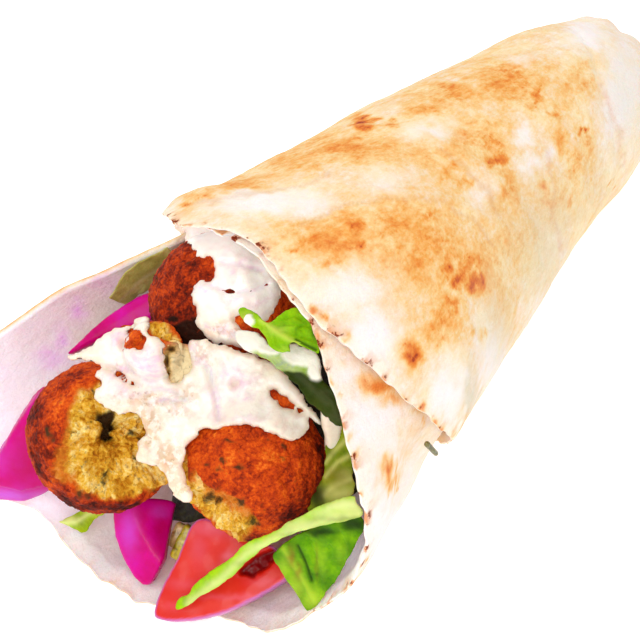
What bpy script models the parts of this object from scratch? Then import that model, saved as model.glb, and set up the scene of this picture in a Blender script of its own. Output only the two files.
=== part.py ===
"""Falafel pita: a rolled flatbread lying on its side, its open end filled to the brim.

Metres, +Z up. While it is modelled, the roll lies along Y on the plane z = 0 with
its mouth towards -Y, and an empty then moves the whole so that the origin is under
the middle of its bounding box. Shapes are worked out in millimetres and made into
metres where a vertex is placed.

A turn is an angle round the roll in degrees: 0 is the +X side, 90 the top, 180 the
-X side and 270 the bottom, so that 450 is the top again, one layer further out.
"""

from math import atan2, cos, degrees, pi, radians, sin, sqrt

import bmesh
import bpy
import numpy as np
from mathutils import Matrix, Vector, noise

MM = 0.001
NAME = "falafel_pita"

# Base colour, roughness of each material. Nothing here is metallic.
COLOURS = {
    "bread": ((0.86, 0.66, 0.42), 0.75),
    "crust": ((0.42, 0.14, 0.03), 0.8),
    "sauce": ((0.90, 0.84, 0.74), 0.3),
    "turnip": ((0.72, 0.02, 0.42), 0.3),
    "tomato": ((0.80, 0.10, 0.06), 0.3),
    "lettuce": ((0.46, 0.62, 0.10), 0.45),
    "mint": ((0.13, 0.36, 0.03), 0.5),
    "pickle": ((0.50, 0.42, 0.05), 0.35),
    "salad": ((0.10, 0.14, 0.03), 0.7),
}

# Bread: one flatbread split into two sheets, the outer rolled over the inner one.
BREAD_THICKNESS = 1.7
LAYER_STEP = 2.7  # from one layer's outer side to the next one's

# Distance along the roll, place on its axis, radius there, height of the axis and how
# far it bends sideways. Past 150 the bread turns in and closes the tail.
ROLL_SECTIONS = (
    (-80, -80, 42.0, 41.0, 0),
    (-25, -25, 41.2, 40.0, 0),
    (0, 0, 39.3, 38.0, -0.2),
    (40, 40, 35.3, 34.0, -1.5),
    (100, 100, 30.3, 29.0, -1.8),
    (145, 145, 26.4, 24.8, -1.2),
    (160, 159.5, 23.4, 22.6, -1),
    (170, 167.5, 18.6, 22.0, -1),
    (178, 171.0, 13.0, 22.0, -1),
    (186, 169.5, 8.0, 22.0, -1),
    (196, 161.0, 5.6, 22.0, -1),
    (204, 153.0, 5.2, 22.0, -1),
)
ROLL_END = 204
TAIL_FOLDS = 7
TAIL_FOLD_DEPTH = 0.9

# How far the left side of the mouth opens out, by place along the axis, and round it.
FLARE = (
    (-70, 30), (-50, 26), (-34, 19.5), (-20, 13.3), (-10, 8), (0, 4.5), (9, 1.6), (20, 0),
)
FLARE_TURN = 195
FLARE_HALF_WIDTH = 80

# Front rims as (turn, place along the axis), and the sheets' loose long edges as
# (place along the axis, turn).
OUTER_RIM = (
    (97, -20.5), (120, -13), (135, -5), (150, 0), (172, 9), (200, 13), (270, 15), (318, 12),
    (346, 0), (366, -12.7), (377, -17.6), (390, -23.6), (409, -27.8), (421, -28.7),
    (435, -24.6), (452, -21.6), (465, -23.8), (482, -18.5),
)
OUTER_START = 97
OUTER_END = ((-18.5, 482), (-2, 491), (5, 492), (20, 499), (40, 506), (204, 510))
INNER_RIM = (
    (195, -61), (205, -59), (215, -55), (223, -48.5), (230, -46), (237, -50), (245, -52.2),
    (255, -53.7), (265, -53), (275, -50), (285, -47.3), (307, -47.2), (319, -43.8), (330, -42),
    (345, -43), (360, -41.5), (378, -40.9), (394, -36.9), (409, -31.7), (435, -24.4), (454, -20),
)
INNER_START = (
    (-61, 195), (-50, 189), (-33, 182.5), (-20, 175.5), (-10.6, 170), (-4.6, 161), (0, 155),
    (9, 151), (30, 149), (204, 149),
)
INNER_END = 454
INNER_LAST = 145

# Falafels: middle, radius, seed of the crust's relief, and the broken faces as
# (direction, distance from the middle and roughness as shares of the radius).
FALAFELS = {
    "falafel_left": ((-21.6, -42, 32.7), 15.8, 3, (((0.76, -0.44, 0.48), 0.66, 0.16),)),
    "falafel_right": ((9.5, -33, 32.8), 14.4, 8, (((-0.15, -0.98, -0.12), 0.8, 0.12),)),
    "falafel_back": ((-11.8, -12, 51.4), 15.6, 5, ()),
    "falafel_crumb": ((-12.5, -34.3, 54.8), 5.9, 14, (((0.6, -0.5, 0.5), 0.5, 0.25),)),
}
CRUST_SWELL, CRUST_RELIEF = 0.03, 0.022  # as shares of the radius
ROOM = 0.9  # between a falafel's mean surface and the sauce on it
SKIRT = 2.5  # how far round a falafel the sauce stays above its middle
THINNEST_SAUCE = 0.6

# Sauce pools lie across the line of sight from the mouth's right front.
POOL_TURN = 33
POOL_TILT = 40
# Reach of each pool from its middle, anticlockwise in even steps from its right.
FRONT_POOL = (
    21.8, 17.5, 13.4, 10.4, 9.2, 9, 10.6, 15.4, 21.1, 25.2, 21, 17.7, 15.1, 15.4, 19.4, 17.5,
    10.5, 10.5, 18.4, 26.5,
)
BACK_POOL = (8, 8.6, 9.7, 10.9, 11.6, 12.4, 10, 8.6, 8.8, 9.9, 11.2, 10.8, 10, 10, 9, 8.3)

# Tomato slice: outline on its cut face, from its left tip round the top to the right.
TOMATO_OUTLINE = (
    (-14.2, -5.7), (-11.1, -1.1), (-6.2, 4.4), (-2.5, 8.3), (-0.1, 9.6), (3, 6.8), (6, 2.6),
    (9.9, -0.9), (14.2, -5.5), (12.1, -7.8), (7.9, -9.4), (3.1, -10), (-3.7, -9.8), (-10.5, -8.3),
)

# Salad filling: where it starts and ends along the roll, how much further forward it
# spills at its foot, and its clearance from the bread.
FILLING_START, FILLING_END = 8, 156
FILLING_SPILL = 34
FILLING_ROOM = 0.7

VIEW = (0.35, -0.54, 0.77)  # towards the viewer who looks into the mouth from above


def smooth(points, at):
    """The value at a place on a smooth curve through (place, value) points."""
    places, values = np.array(points, float).T
    at = min(max(at, places[0]), places[-1])
    slopes = np.gradient(values, places)
    i = min(int(np.searchsorted(places, at, side="right")) - 1, len(places) - 2)
    step = places[i + 1] - places[i]
    t = (at - places[i]) / step
    return (
        (1 + 2 * t) * (1 - t) ** 2 * values[i]
        + t * (1 - t) ** 2 * step * slopes[i]
        + t * t * (3 - 2 * t) * values[i + 1]
        - t * t * (1 - t) * step * slopes[i + 1]
    )


def evenly(values):
    """The values with places spread evenly from 0 to 1."""
    return [(i / (len(values) - 1), value) for i, value in enumerate(values)]


def ramp(low, high, at):
    """0 below low, 1 above high and an S curve between."""
    t = min(max((at - low) / (high - low), 0), 1)
    return t * t * (3 - 2 * t)


def basis(along, facing):
    """A rotation whose X axis runs along and whose Z axis is as near to facing as it can be."""
    along = Vector(along).normalized()
    side = Vector(facing).cross(along).normalized()
    return Matrix((along, side, along.cross(side))).transposed().to_4x4()


# Materials, objects and meshes


def materials():
    made = {}
    for name, (colour, roughness) in COLOURS.items():
        made[name] = bpy.data.materials.new(name)
        made[name].use_nodes = True
        made[name].diffuse_color = (*colour, 1)
        shader = made[name].node_tree.nodes["Principled BSDF"]
        shader.inputs["Base Color"].default_value = (*colour, 1)
        shader.inputs["Roughness"].default_value = roughness
        shader.inputs["Metallic"].default_value = 0
    return made


def collection(name):
    made = bpy.data.collections.new(name)
    bpy.context.scene.collection.children.link(made)
    return made


def mesh_from(name, cells):
    mesh = bpy.data.meshes.new(name)
    cells.to_mesh(mesh)
    cells.free()
    return mesh


def grid(name, columns, rows, place):
    """A sheet of columns by rows whose corner (u, v) is put at place(u, v)."""
    cells = bmesh.new()
    bmesh.ops.create_grid(cells, x_segments=columns, y_segments=rows, size=0.5)
    for vert in cells.verts:
        vert.co = place(vert.co.x + 0.5, vert.co.y + 0.5) * MM
    return mesh_from(name, cells)


def add_part(name, mesh, slot):
    part = bpy.data.objects.new(name, mesh)
    mesh.materials.append(MATERIALS[slot])
    mesh.shade_smooth()
    PARTS.objects.link(part)
    part.parent = ROOT
    return part


def solidify(part, thickness, side):
    """Gives a sheet its thickness: side 1 adds it on the normals' side, 0 on both."""
    shell = part.modifiers.new("thickness", "SOLIDIFY")
    shell.thickness = thickness * MM
    shell.offset = side
    shell.use_even_offset = True


# Bread


def section(along, column):
    return smooth([(row[0], row[column]) for row in ROLL_SECTIONS], along)


def flare(turn, place):
    off = (turn - FLARE_TURN + 180) % 360 - 180
    if abs(off) > FLARE_HALF_WIDTH:
        return 0
    return smooth(FLARE, place) * (1 + cos(pi * off / FLARE_HALF_WIDTH)) / 2


def unevenness(turn, along):
    """Soft dents and swells all over, and the gathered folds of the tail."""
    angle = radians(turn)
    wave = 0.4 * sin(2 * angle + along / 22 + 0.6) + 0.28 * sin(3 * angle - along / 13)
    folds = TAIL_FOLD_DEPTH * cos(TAIL_FOLDS * angle) * ramp(150, 172, along)
    return wave + folds * min(1, section(along, 2) / 20)


def roll_point(turn, along, inset):
    """A point of a layer whose outer side lies this far inside the roll's own."""
    place, radius = section(along, 1), section(along, 2)
    ahead = section(along + 1, 1) - section(along - 1, 1)
    wider = section(along + 1, 2) - section(along - 1, 2)
    length = sqrt(ahead * ahead + wider * wider)
    radius += unevenness(turn, along) + flare(turn, place) - inset * ahead / length
    place += inset * wider / length
    angle = radians(turn)
    height = section(along, 3) + radius * sin(angle)
    sideways = section(along, 4) + radius * cos(angle)
    return Vector((sideways, place, max(height, inset)))


def outer_inset(turn):
    """The outer sheet starts one layer in, under its own end."""
    return LAYER_STEP * (1 - ramp(150, 210, turn))


def inner_inset(turn, along):
    """The inner sheet lies one layer inside the outer one and spreads out before its rim."""
    rim = smooth(OUTER_RIM, turn if turn > 150 else turn + 360)
    under = LAYER_STEP + (outer_inset(turn) if turn < 300 else 0)
    lying = 0.2
    return lying + (under - lying) * ramp(rim - 26, rim - 2, along)


def outer_place(u, v):
    last = OUTER_END[0][1]
    turn = OUTER_START + (last - OUTER_START) * u
    rim = smooth(OUTER_RIM, turn)
    along = rim + (ROLL_END - rim) * v**1.15
    turn += (smooth(OUTER_END, along) - last) * u**4
    return roll_point(turn, along, outer_inset(turn))


def inner_place(u, v):
    first = INNER_START[0][1]
    turn = first + (INNER_END - first) * u
    rim = smooth(INNER_RIM, turn)
    along = rim + (INNER_LAST - rim) * v**1.4
    turn += (smooth(INNER_START, along) - first) * (1 - u) ** 3
    return roll_point(turn, along, inner_inset(turn, along))


def bread_sheet(name, columns, rows, place):
    """A sheet of bread: its outer side laid out by place(u, v) and thickened inwards."""
    solidify(add_part(name, grid(name, columns, rows, place), "bread"), BREAD_THICKNESS, 1)


# Falafels


def crust_reach(way, radius, seed, breaks):
    """Distance of the surface from the middle in a direction: crust, or a broken face."""
    where = way * 4.8 + Vector((seed, seed, seed))
    swell = CRUST_SWELL * noise.noise(way * 1.3 + Vector((0, 0, seed)))
    reach = radius * (1 + swell + CRUST_RELIEF * noise.noise(where))
    for facing, depth, rough in breaks:
        toward = way.dot(Vector(facing).normalized())
        if toward > 0.05:
            face = radius * (depth / toward + rough * noise.noise(where * 0.8))
            reach = min(reach, max(face, 0.3 * radius))
    return reach


def falafel(name, middle, radius, seed, breaks):
    ball = bmesh.new()
    bmesh.ops.create_cube(ball, size=2)
    cuts = 6 if radius > 10 else 3
    bmesh.ops.subdivide_edges(ball, edges=ball.edges[:], cuts=cuts, use_grid_fill=True)
    for vert in ball.verts:
        way = vert.co.normalized()
        vert.co = way * crust_reach(way, radius, seed, breaks) * MM
    part = add_part(name, mesh_from(name, ball), "crust")
    part.location = Vector(middle) * MM


# Sauce


def draped(x, y, balls):
    """Height of a skin drawn over balls, seen down the pool's own Z axis."""
    soft = 2.2
    tops = [
        ball.z + sqrt(max(radius**2 - (x - ball.x) ** 2 - (y - ball.y) ** 2, 0))
        for ball, radius in balls
    ]
    return soft * np.log(sum(np.exp(top / soft) for top in tops))


def pool_heights(x, y, edge, balls, thick, deep):
    """Top and underside of a pool: it lies on the balls and is deep only between them."""
    lumps = 0.3 * noise.noise(Vector((x, y, 0)) / 4)
    top = draped(x, y, balls) + thick * sqrt(1 - 0.85 * edge**4) + lumps
    under = [top - deep]
    for ball, radius in balls:
        off = sqrt((x - ball.x) ** 2 + (y - ball.y) ** 2)
        if off < radius + ROOM + SKIRT:
            under.append(ball.z + sqrt(max((radius + ROOM) ** 2 - off**2, 0)))
    return max(top, max(under) + THINNEST_SAUCE), max(under)


def sauce(name, middle, reaches, over, thick, deep, cells):
    """A pool of sauce poured over the named falafels, clear of them by the room they need."""
    frame = Matrix.Rotation(radians(POOL_TURN), 4, "Z") @ Matrix.Rotation(radians(POOL_TILT), 4, "X")
    frame = Matrix.Translation(Vector(middle) * MM) @ frame
    back = frame.inverted()
    balls = [(back @ (Vector(FALAFELS[ball][0]) * MM) / MM, FALAFELS[ball][1]) for ball in over]
    outline = [(i * 360 / len(reaches), reach) for i, reach in enumerate(reaches + reaches[:1])]
    pool = bmesh.new()
    bmesh.ops.create_grid(pool, x_segments=cells, y_segments=cells, size=1)
    top = pool.verts[:]
    below = bmesh.ops.extrude_face_region(pool, geom=pool.faces[:])["geom"]
    below = {part for part in below if isinstance(part, bmesh.types.BMVert)}
    for vert in top + list(below):
        a, b = vert.co.xy
        x, y = a * sqrt(1 - b * b / 2), b * sqrt(1 - a * a / 2)
        edge = min(sqrt(x * x + y * y), 1)
        reach = smooth(outline, degrees(atan2(y, x)) % 360)
        heights = pool_heights(x * reach, y * reach, edge, balls, thick, deep)
        vert.co = Vector((x * reach, y * reach, heights[vert in below])) * MM
    bmesh.ops.recalc_face_normals(pool, faces=pool.faces[:])
    add_part(name, mesh_from(name, pool), "sauce").matrix_world = frame


# Salad


def ribbon(name, slot, path, widths, facing, thickness, cells, ripple=0.5, waves=2):
    """A leaf or strip along a path, this wide to each side, thickened about its middle."""
    lines = [evenly([point[axis] for point in path]) for axis in range(3)]
    facing = Vector(facing).normalized()

    def middle(u):
        return Vector([smooth(line, u) for line in lines])

    def place(u, v):
        along = (middle(min(u + 0.02, 1)) - middle(max(u - 0.02, 0))).normalized()
        side = along.cross(facing).normalized()
        across = 2 * v - 1
        wave = ripple * sin(waves * 2 * pi * u + 1.3 * across) * abs(across)
        return middle(u) + side * across * smooth(evenly(widths), u) + side.cross(along) * wave

    solidify(add_part(name, grid(name, *cells, place), slot), thickness, 0)


def chunk(name, slot, middle, size, along, facing, taper=1.0, soft=0.9):
    """A cut stick: a box that narrows to taper at its far end, its edges softened."""
    box = bmesh.new()
    bmesh.ops.create_cube(box, size=1)
    long_edges = [
        edge for edge in box.edges if abs(edge.verts[0].co.x - edge.verts[1].co.x) > 0.5
    ]
    bmesh.ops.subdivide_edges(box, edges=long_edges, cuts=2)
    for vert in box.verts:
        share = vert.co.x + 0.5
        narrow = 1 + (taper - 1) * share
        bow = 0.06 * sin(pi * share)
        x, y, z = vert.co
        vert.co = Vector((x * size[0], y * size[1] * narrow, (z * narrow + bow) * size[2])) * MM
    part = add_part(name, mesh_from(name, box), slot)
    part.matrix_world = Matrix.Translation(Vector(middle) * MM) @ basis(along, facing)
    soften(part, soft)


def soften(part, width):
    edges = part.modifiers.new("soft edges", "BEVEL")
    edges.width = width * MM
    edges.segments = 1


def slab(name, slot, outline, thickness, middle, along, facing, soft):
    """A flat slice: its outline on the face that shows, thickened behind it."""
    flat = bmesh.new()
    corners = [flat.verts.new(Vector((x, y, 0)) * MM) for x, y in outline]
    bmesh.ops.contextual_create(flat, geom=corners)
    bmesh.ops.recalc_face_normals(flat, faces=flat.faces[:])
    part = add_part(name, mesh_from(name, flat), slot)
    part.matrix_world = Matrix.Translation(Vector(middle) * MM) @ basis(along, facing)
    up = part.data.polygons[0].normal.z
    solidify(part, thickness, -1 if up > 0 else 1)
    soften(part, soft)


def filling_place(turn, share):
    """The filling's outside, from the middle of its front (share 0) to that of its end (1)."""
    front_share, end_share = 0.28, 0.83
    inside = 2 * LAYER_STEP + BREAD_THICKNESS + FILLING_ROOM
    behind = max(0, (share - front_share) / (1 - front_share))
    along = FILLING_START + (FILLING_END - FILLING_START) * behind
    edge = roll_point(turn, along, inside)
    middle = Vector((section(along, 4), edge.y, section(along, 3)))
    closing = min(share / front_share, (1 - share) / (1 - end_share), 1)
    point = middle.lerp(edge, closing**0.6)
    if share < 0.34:
        point.y = FILLING_START - FILLING_SPILL * ramp(40, 6, point.z)
    point.y += 1.5 * noise.noise(point / 6)
    return point


def filling(name):
    """The salad inside the roll: a closed body under and behind the falafels."""
    cells = bmesh.new()
    bmesh.ops.create_uvsphere(cells, u_segments=24, v_segments=18, radius=1)
    for vert in cells.verts:
        share = degrees(atan2(vert.co.z, sqrt(vert.co.x**2 + vert.co.y**2))) / 180 + 0.5
        vert.co = filling_place(degrees(atan2(vert.co.y, vert.co.x)) % 360, share) * MM
    bmesh.ops.reverse_faces(cells, faces=cells.faces[:])
    add_part(name, mesh_from(name, cells), "salad")


def turnips():
    chunk("turnip_back", "turnip", (-38.6, -17.4, 38.2), (32, 8, 4.6), (-14, -17, -11.5),
          (0.5, -0.3, 0.8), 0.45)
    chunk("turnip_left", "turnip", (-45.2, -46.5, 20), (26, 11, 9), (0.1, 0.35, 0.93),
          (0.6, -0.7, 0.3), 0.9, 1.2)
    chunk("turnip_front", "turnip", (-9.8, -46.4, 9.7), (18, 11.6, 6.3), (0.4, -0.72, -0.62),
          VIEW, 0.4, 0.9)


def leaves():
    ribbon("lettuce_strip", "lettuce",
           ((4.7, -55, 9.8), (10.1, -52, 14.6), (14.4, -47.4, 20.8), (20.6, -46, 32),
            (26.8, -42, 35.5), (31.6, -39, 38.2), (35.2, -36.5, 41.5)),
           (1.2, 2.4, 2.6, 2.2, 2.2, 2.6, 3), VIEW, 0.8, (18, 3))
    ribbon("lettuce_right", "lettuce", ((27.5, -34, 31.5), (30, -29, 38), (31.5, -24, 45)),
           (3.5, 4, 3), (0.2, -0.9, 0.3), 0.8, (8, 5))
    ribbon("lettuce_left", "lettuce", ((-27, -48, 5.6), (-25, -45.5, 7.2), (-21.5, -42, 9.8)),
           (1.2, 2.8, 3.4), VIEW, 0.8, (6, 4))
    ribbon("lettuce_wall", "lettuce", ((-41.5, -13, 40), (-37, -8.5, 46), (-31.5, -3, 50)),
           (3, 4.6, 4.6), (0.8, -0.5, -0.2), 0.8, (8, 5))
    ribbon("lettuce_top", "lettuce",
           ((3, -25, 58), (11, -27, 59.5), (20, -29.5, 59), (28, -31.5, 55)),
           (1.2, 2.6, 3, 3.4), VIEW, 0.8, (12, 4))
    ribbon("mint_top", "mint",
           ((2.5, -26, 67), (9, -27, 66), (15.5, -27.5, 66.5), (21.5, -28.5, 69)),
           (0.8, 2.2, 5.4, 1.2), VIEW, 0.7, (12, 5))
    ribbon("mint_bottom", "mint",
           ((27.2, -44.4, 14.2), (27.4, -42.6, 18.8), (27.6, -41, 25), (28.6, -39.4, 31)),
           (0.8, 4.6, 5.6, 4.4), (0.3, -0.95, 0.2), 0.7, (10, 6))


def small_pieces():
    chunk("pickle_green", "pickle", (-3.9, -40.6, 8.4), (7.4, 3.6, 3), (-0.12, -0.73, -0.65),
          VIEW, 0.8, 0.5)
    chunk("pickle_pale", "pickle", (-7.2, -38.9, 7.2), (5, 2.6, 2.6), (0, -0.7, -0.6),
          VIEW, 0.9, 0.5)
    chunk("herb_stem", "mint", (39.8, -14, 38.7), (5.6, 1.5, 1.5), (0.12, 0.5, -0.84),
          VIEW, 0.9, 0.3)
    ribbon("sauce_drip", "sauce", ((23.8, -27.5, 49), (25, -27, 44.5), (26, -26.5, 40.5)),
           (2.2, 2.4, 1.2), VIEW, 1.6, (6, 3), ripple=0)


def build():
    bread_sheet("bread_outer", 38, 24, outer_place)
    bread_sheet("bread_inner", 30, 18, inner_place)
    for name, measures in FALAFELS.items():
        falafel(name, *measures)
    sauce("sauce_front", (-3.7, -32.7, 48), FRONT_POOL,
          ("falafel_left", "falafel_right", "falafel_crumb"), 1.8, 3, 20)
    sauce("sauce_back", (-3.6, -17.2, 62), BACK_POOL, ("falafel_back",), 1.8, 3, 11)
    turnips()
    slab("tomato_slice", "tomato", TOMATO_OUTLINE, 3.6, (7.5, -44.8, 12.9),
         (0.736, 0.629, 0.25), (0.179, -0.537, 0.825), 0.8)
    leaves()
    small_pieces()
    filling("salad_filling")


def centre_on_origin():
    """Moves the root so that the origin is under the middle of the bounding box."""
    bpy.context.view_layer.update()
    graph = bpy.context.evaluated_depsgraph_get()
    points = []
    for part in PARTS.objects:
        if part.type == "MESH":
            solid = part.evaluated_get(graph)
            points += [part.matrix_world @ vert.co for vert in solid.data.vertices]
    low = [min(point[axis] for point in points) for axis in range(3)]
    high = [max(point[axis] for point in points) for axis in range(3)]
    ROOT.location = (-(low[0] + high[0]) / 2, -(low[1] + high[1]) / 2, -low[2])


for old in list(bpy.data.objects):
    bpy.data.objects.remove(old, do_unlink=True)
PARTS = collection(NAME)
ROOT = bpy.data.objects.new(NAME, None)
PARTS.objects.link(ROOT)
MATERIALS = materials()
build()
centre_on_origin()
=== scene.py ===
import math

import bmesh
import bpy
import numpy as np
from mathutils import Matrix, Vector, noise


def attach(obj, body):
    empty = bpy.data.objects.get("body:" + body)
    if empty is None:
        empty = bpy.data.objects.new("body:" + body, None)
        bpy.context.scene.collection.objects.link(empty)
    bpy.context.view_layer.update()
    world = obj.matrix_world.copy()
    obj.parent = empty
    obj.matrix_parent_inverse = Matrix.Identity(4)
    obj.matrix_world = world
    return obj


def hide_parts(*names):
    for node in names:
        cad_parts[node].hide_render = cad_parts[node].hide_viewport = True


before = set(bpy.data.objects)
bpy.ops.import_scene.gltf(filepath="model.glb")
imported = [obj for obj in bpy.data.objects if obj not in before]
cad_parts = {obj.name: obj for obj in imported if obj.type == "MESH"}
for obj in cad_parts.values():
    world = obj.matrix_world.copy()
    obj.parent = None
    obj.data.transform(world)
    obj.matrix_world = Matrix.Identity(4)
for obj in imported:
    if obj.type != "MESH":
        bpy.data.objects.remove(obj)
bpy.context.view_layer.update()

mm = 0.001
tiny = 1e-9
farAway = 1e9
rollOrigin = (13.15, -54.8, 0.0)  # mm: where the roll's own frame lies in the part's

# The camera, in the roll's frame: mm and degrees. Pixels below are the photograph's.
view = {
    "place": (116.1, -172.3, 218.6),
    "turn": 33,
    "tiltDown": 40,
    "focalPixels": 1257,
    "imageSide": 640,
    "sensor": 36,
    "clip": (0.01, 10),  # metres
}
# How far the noise moves for each seed, and how crumbs are told apart.
noiseSteps = {"lumps": (7.3, 3.1, 5.7), "grains": (2.9, 8.3, 4.1)}
grainEdge = 1.6
grainNumber = 9.7
spotFall = 0.8  # how quickly a patch fades from its middle


def curveThrough(points, at):
    # a smooth curve through (place, value) points, level beyond its ends
    places, values = np.array(points, float).T
    at = np.clip(at, places[0], places[-1])
    slopes = np.gradient(values, places)
    i = np.clip(np.searchsorted(places, at, side="right") - 1, 0, len(places) - 2)
    step = places[i + 1] - places[i]
    t = (at - places[i]) / step
    start = (1 + 2 * t) * (1 - t) ** 2 * values[i] + t * (1 - t) ** 2 * step * slopes[i]
    return start + t * t * (3 - 2 * t) * values[i + 1] - t * t * (1 - t) * step * slopes[i + 1]


def evenly(values):
    return [(i / (len(values) - 1), value) for i, value in enumerate(values)]


def rise(low, high, at):
    # 0 at low, 1 at high, smooth between
    t = np.clip((at - low) / (high - low), 0, 1)
    return t * t * (3 - 2 * t)


def hill(far, width):
    # 1 in the middle, fading out to both sides
    return np.exp(-((far / width) ** 2))


def shifted(points, size, steps, seed):
    shift = Vector([step * seed for step in steps])
    return [Vector(point) / size + shift for point in points]


def lumps(points, size, seed=0):
    # smooth noise, about -0.6 to 0.6, with bumps this many mm across
    return np.array([noise.noise(place) for place in shifted(points, size, noiseSteps["lumps"], seed)])


def relief(points, *layers):
    # lumps of several sizes together: (mm high, mm across, seed), then perhaps a stretch in x, y and z
    total = np.zeros(len(points))
    for high, across, seed, *stretch in layers:
        total += high * lumps(points * np.array(stretch or (1, 1, 1)), across, seed)
    return total


def grains(points, size, seed):
    # for crumbs this many mm across: how near the crumb's middle (1) or its edge (0), and its own number
    near, own = [], []
    for place in shifted(points, size, noiseSteps["grains"], seed):
        distances, middles = noise.voronoi(place)
        near.append(min(1.0, (distances[1] - distances[0]) * grainEdge))
        own.append(noise.cell(middles[0] * grainNumber) * 0.5 + 0.5)
    return np.array(near), np.array(own)


def unit(vectors):
    return vectors / np.linalg.norm(vectors, axis=-1, keepdims=True)


def flatAt(x, y):
    return np.stack((x, y, np.zeros_like(x)), axis=1)


def cameraAxes():
    turn, tilt = math.radians(view["turn"]), math.radians(view["tiltDown"])
    ahead = np.array((-math.sin(turn) * math.cos(tilt), math.cos(turn) * math.cos(tilt), -math.sin(tilt)))
    right = np.array((math.cos(turn), math.sin(turn), 0))
    return right, np.cross(right, ahead), ahead


def seenAt(points):
    # the photograph's pixel of each point of the roll's frame, and the pixels to a mm there
    right, up, ahead = cameraAxes()
    away = np.asarray(points, float) - np.array(view["place"])
    depth = away @ ahead
    middle = view["imageSide"] / 2
    x = middle + view["focalPixels"] * (away @ right) / depth
    y = middle - view["focalPixels"] * (away @ up) / depth
    return np.stack((x, y), axis=-1), view["focalPixels"] / depth


def rounded(outline):
    # cuts an outline's corners, twice over
    corners = np.array(outline, float)
    for _ in range(2):
        ahead = np.roll(corners, -1, axis=0)
        early, late = 0.75 * corners + 0.25 * ahead, 0.25 * corners + 0.75 * ahead
        corners = np.stack((early, late), axis=1).reshape(-1, 2)
    return corners


def fromSide(points, a, b):
    # from the nearest place on the line a to b to each point
    side = b - a
    t = np.clip(((points - a) @ side) / (side @ side + tiny), 0, 1)
    return points - a - t[:, None] * side


def insideBy(points, outline):
    # distance to a closed outline: positive inside, negative outside
    corners = rounded(outline)
    nearest = np.full(len(points), farAway)
    inside = np.zeros(len(points), bool)
    for a, b in zip(corners, np.roll(corners, -1, axis=0)):
        nearest = np.minimum(nearest, np.linalg.norm(fromSide(points, a, b), axis=1))
        crosses = (a[1] > points[:, 1]) != (b[1] > points[:, 1])
        level = a[0] + (points[:, 1] - a[1]) / (b[1] - a[1] + tiny) * (b[0] - a[0])
        inside ^= crosses & (points[:, 0] < level)
    return np.where(inside, nearest, -nearest)


def nearLine(points, line):
    # distance to an open line of points, and each point's side of it: 1 left of its way, -1 right
    line = np.array(line, float)
    nearest, side = np.full(len(points), farAway), np.ones(len(points))
    for a, b in zip(line, line[1:]):
        way, away = b - a, fromSide(points, a, b)
        far = np.linalg.norm(away, axis=1)
        side = np.where(far < nearest, np.sign(way[0] * away[:, 1] - way[1] * away[:, 0] + tiny), side)
        nearest = np.minimum(nearest, far)
    return nearest, side


def alongLine(points, line, width):
    return hill(nearLine(points, line)[0], width)


def spots(pixels, patches):
    # how strongly each pixel lies in soft patches of (x, y, across, down, strength)
    total = np.zeros(len(pixels))
    for x, y, across, down, strength in patches:
        far = ((pixels[:, 0] - x) / across) ** 2 + ((pixels[:, 1] - y) / down) ** 2
        total = np.maximum(total, strength * np.exp(-spotFall * far))
    return total


def placesOf(shape):
    return np.array([vert.co[:] for vert in shape.verts])


def movePoints(shape, points):
    for vert, point in zip(shape.verts, points):
        vert.co = point


def meshFrom(name, shape, material):
    mesh = bpy.data.meshes.new(name)
    shape.to_mesh(mesh)
    shape.free()
    mesh.materials.append(material)
    return mesh


def addObject(name, data):
    made = bpy.data.objects.new(name, data)
    bpy.context.scene.collection.objects.link(made)
    return made


def finishMesh(name, node, shape, slot, material, masks=None):
    # closes the bmesh into a piece that stands for the CAD node; its points are in the roll's frame, in mm
    bmesh.ops.translate(shape, verts=shape.verts[:], vec=rollOrigin)
    bmesh.ops.scale(shape, verts=shape.verts[:], vec=(mm, mm, mm))
    if shape.calc_volume(signed=True) < 0:
        bmesh.ops.reverse_faces(shape, faces=shape.faces[:])
    mesh = meshFrom(name, shape, material)
    mesh.shade_smooth()
    for mask, values in (masks or {}).items():
        layer = mesh.attributes.new(mask, "FLOAT", "POINT")
        layer.data.foreach_set("value", np.asarray(values, np.float32))
    piece = addObject(name, mesh)
    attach(piece, "root")
    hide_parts(node)


def secondSkin(shape):
    # joins a copy of a sheet to it all round; gives each point's x and y, and whether it is on the copy
    joined = bmesh.ops.extrude_face_region(shape, geom=shape.faces[:])["geom"]
    moved = [part for part in joined if isinstance(part, bmesh.types.BMVert)]
    bmesh.ops.translate(shape, verts=moved, vec=(0, 0, -1))
    bmesh.ops.recalc_face_normals(shape, faces=shape.faces[:])
    shape.verts.index_update()
    at = placesOf(shape)
    return at[:, 0], at[:, 1], at[:, 2] < -0.5


def twoSkins(columns, rows):
    # a square of side 1, with its second skin
    shape = bmesh.new()
    bmesh.ops.create_grid(shape, x_segments=columns, y_segments=rows, size=0.5)
    bmesh.ops.translate(shape, verts=shape.verts[:], vec=(0.5, 0.5, 0))
    return shape, *secondSkin(shape)


# How a cut sheet finds its edge: step to feel slopes over, flattest slope, longest move in cells.
trim = {"step": 0.1, "flattest": 0.3, "longest": 1.5}


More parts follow.
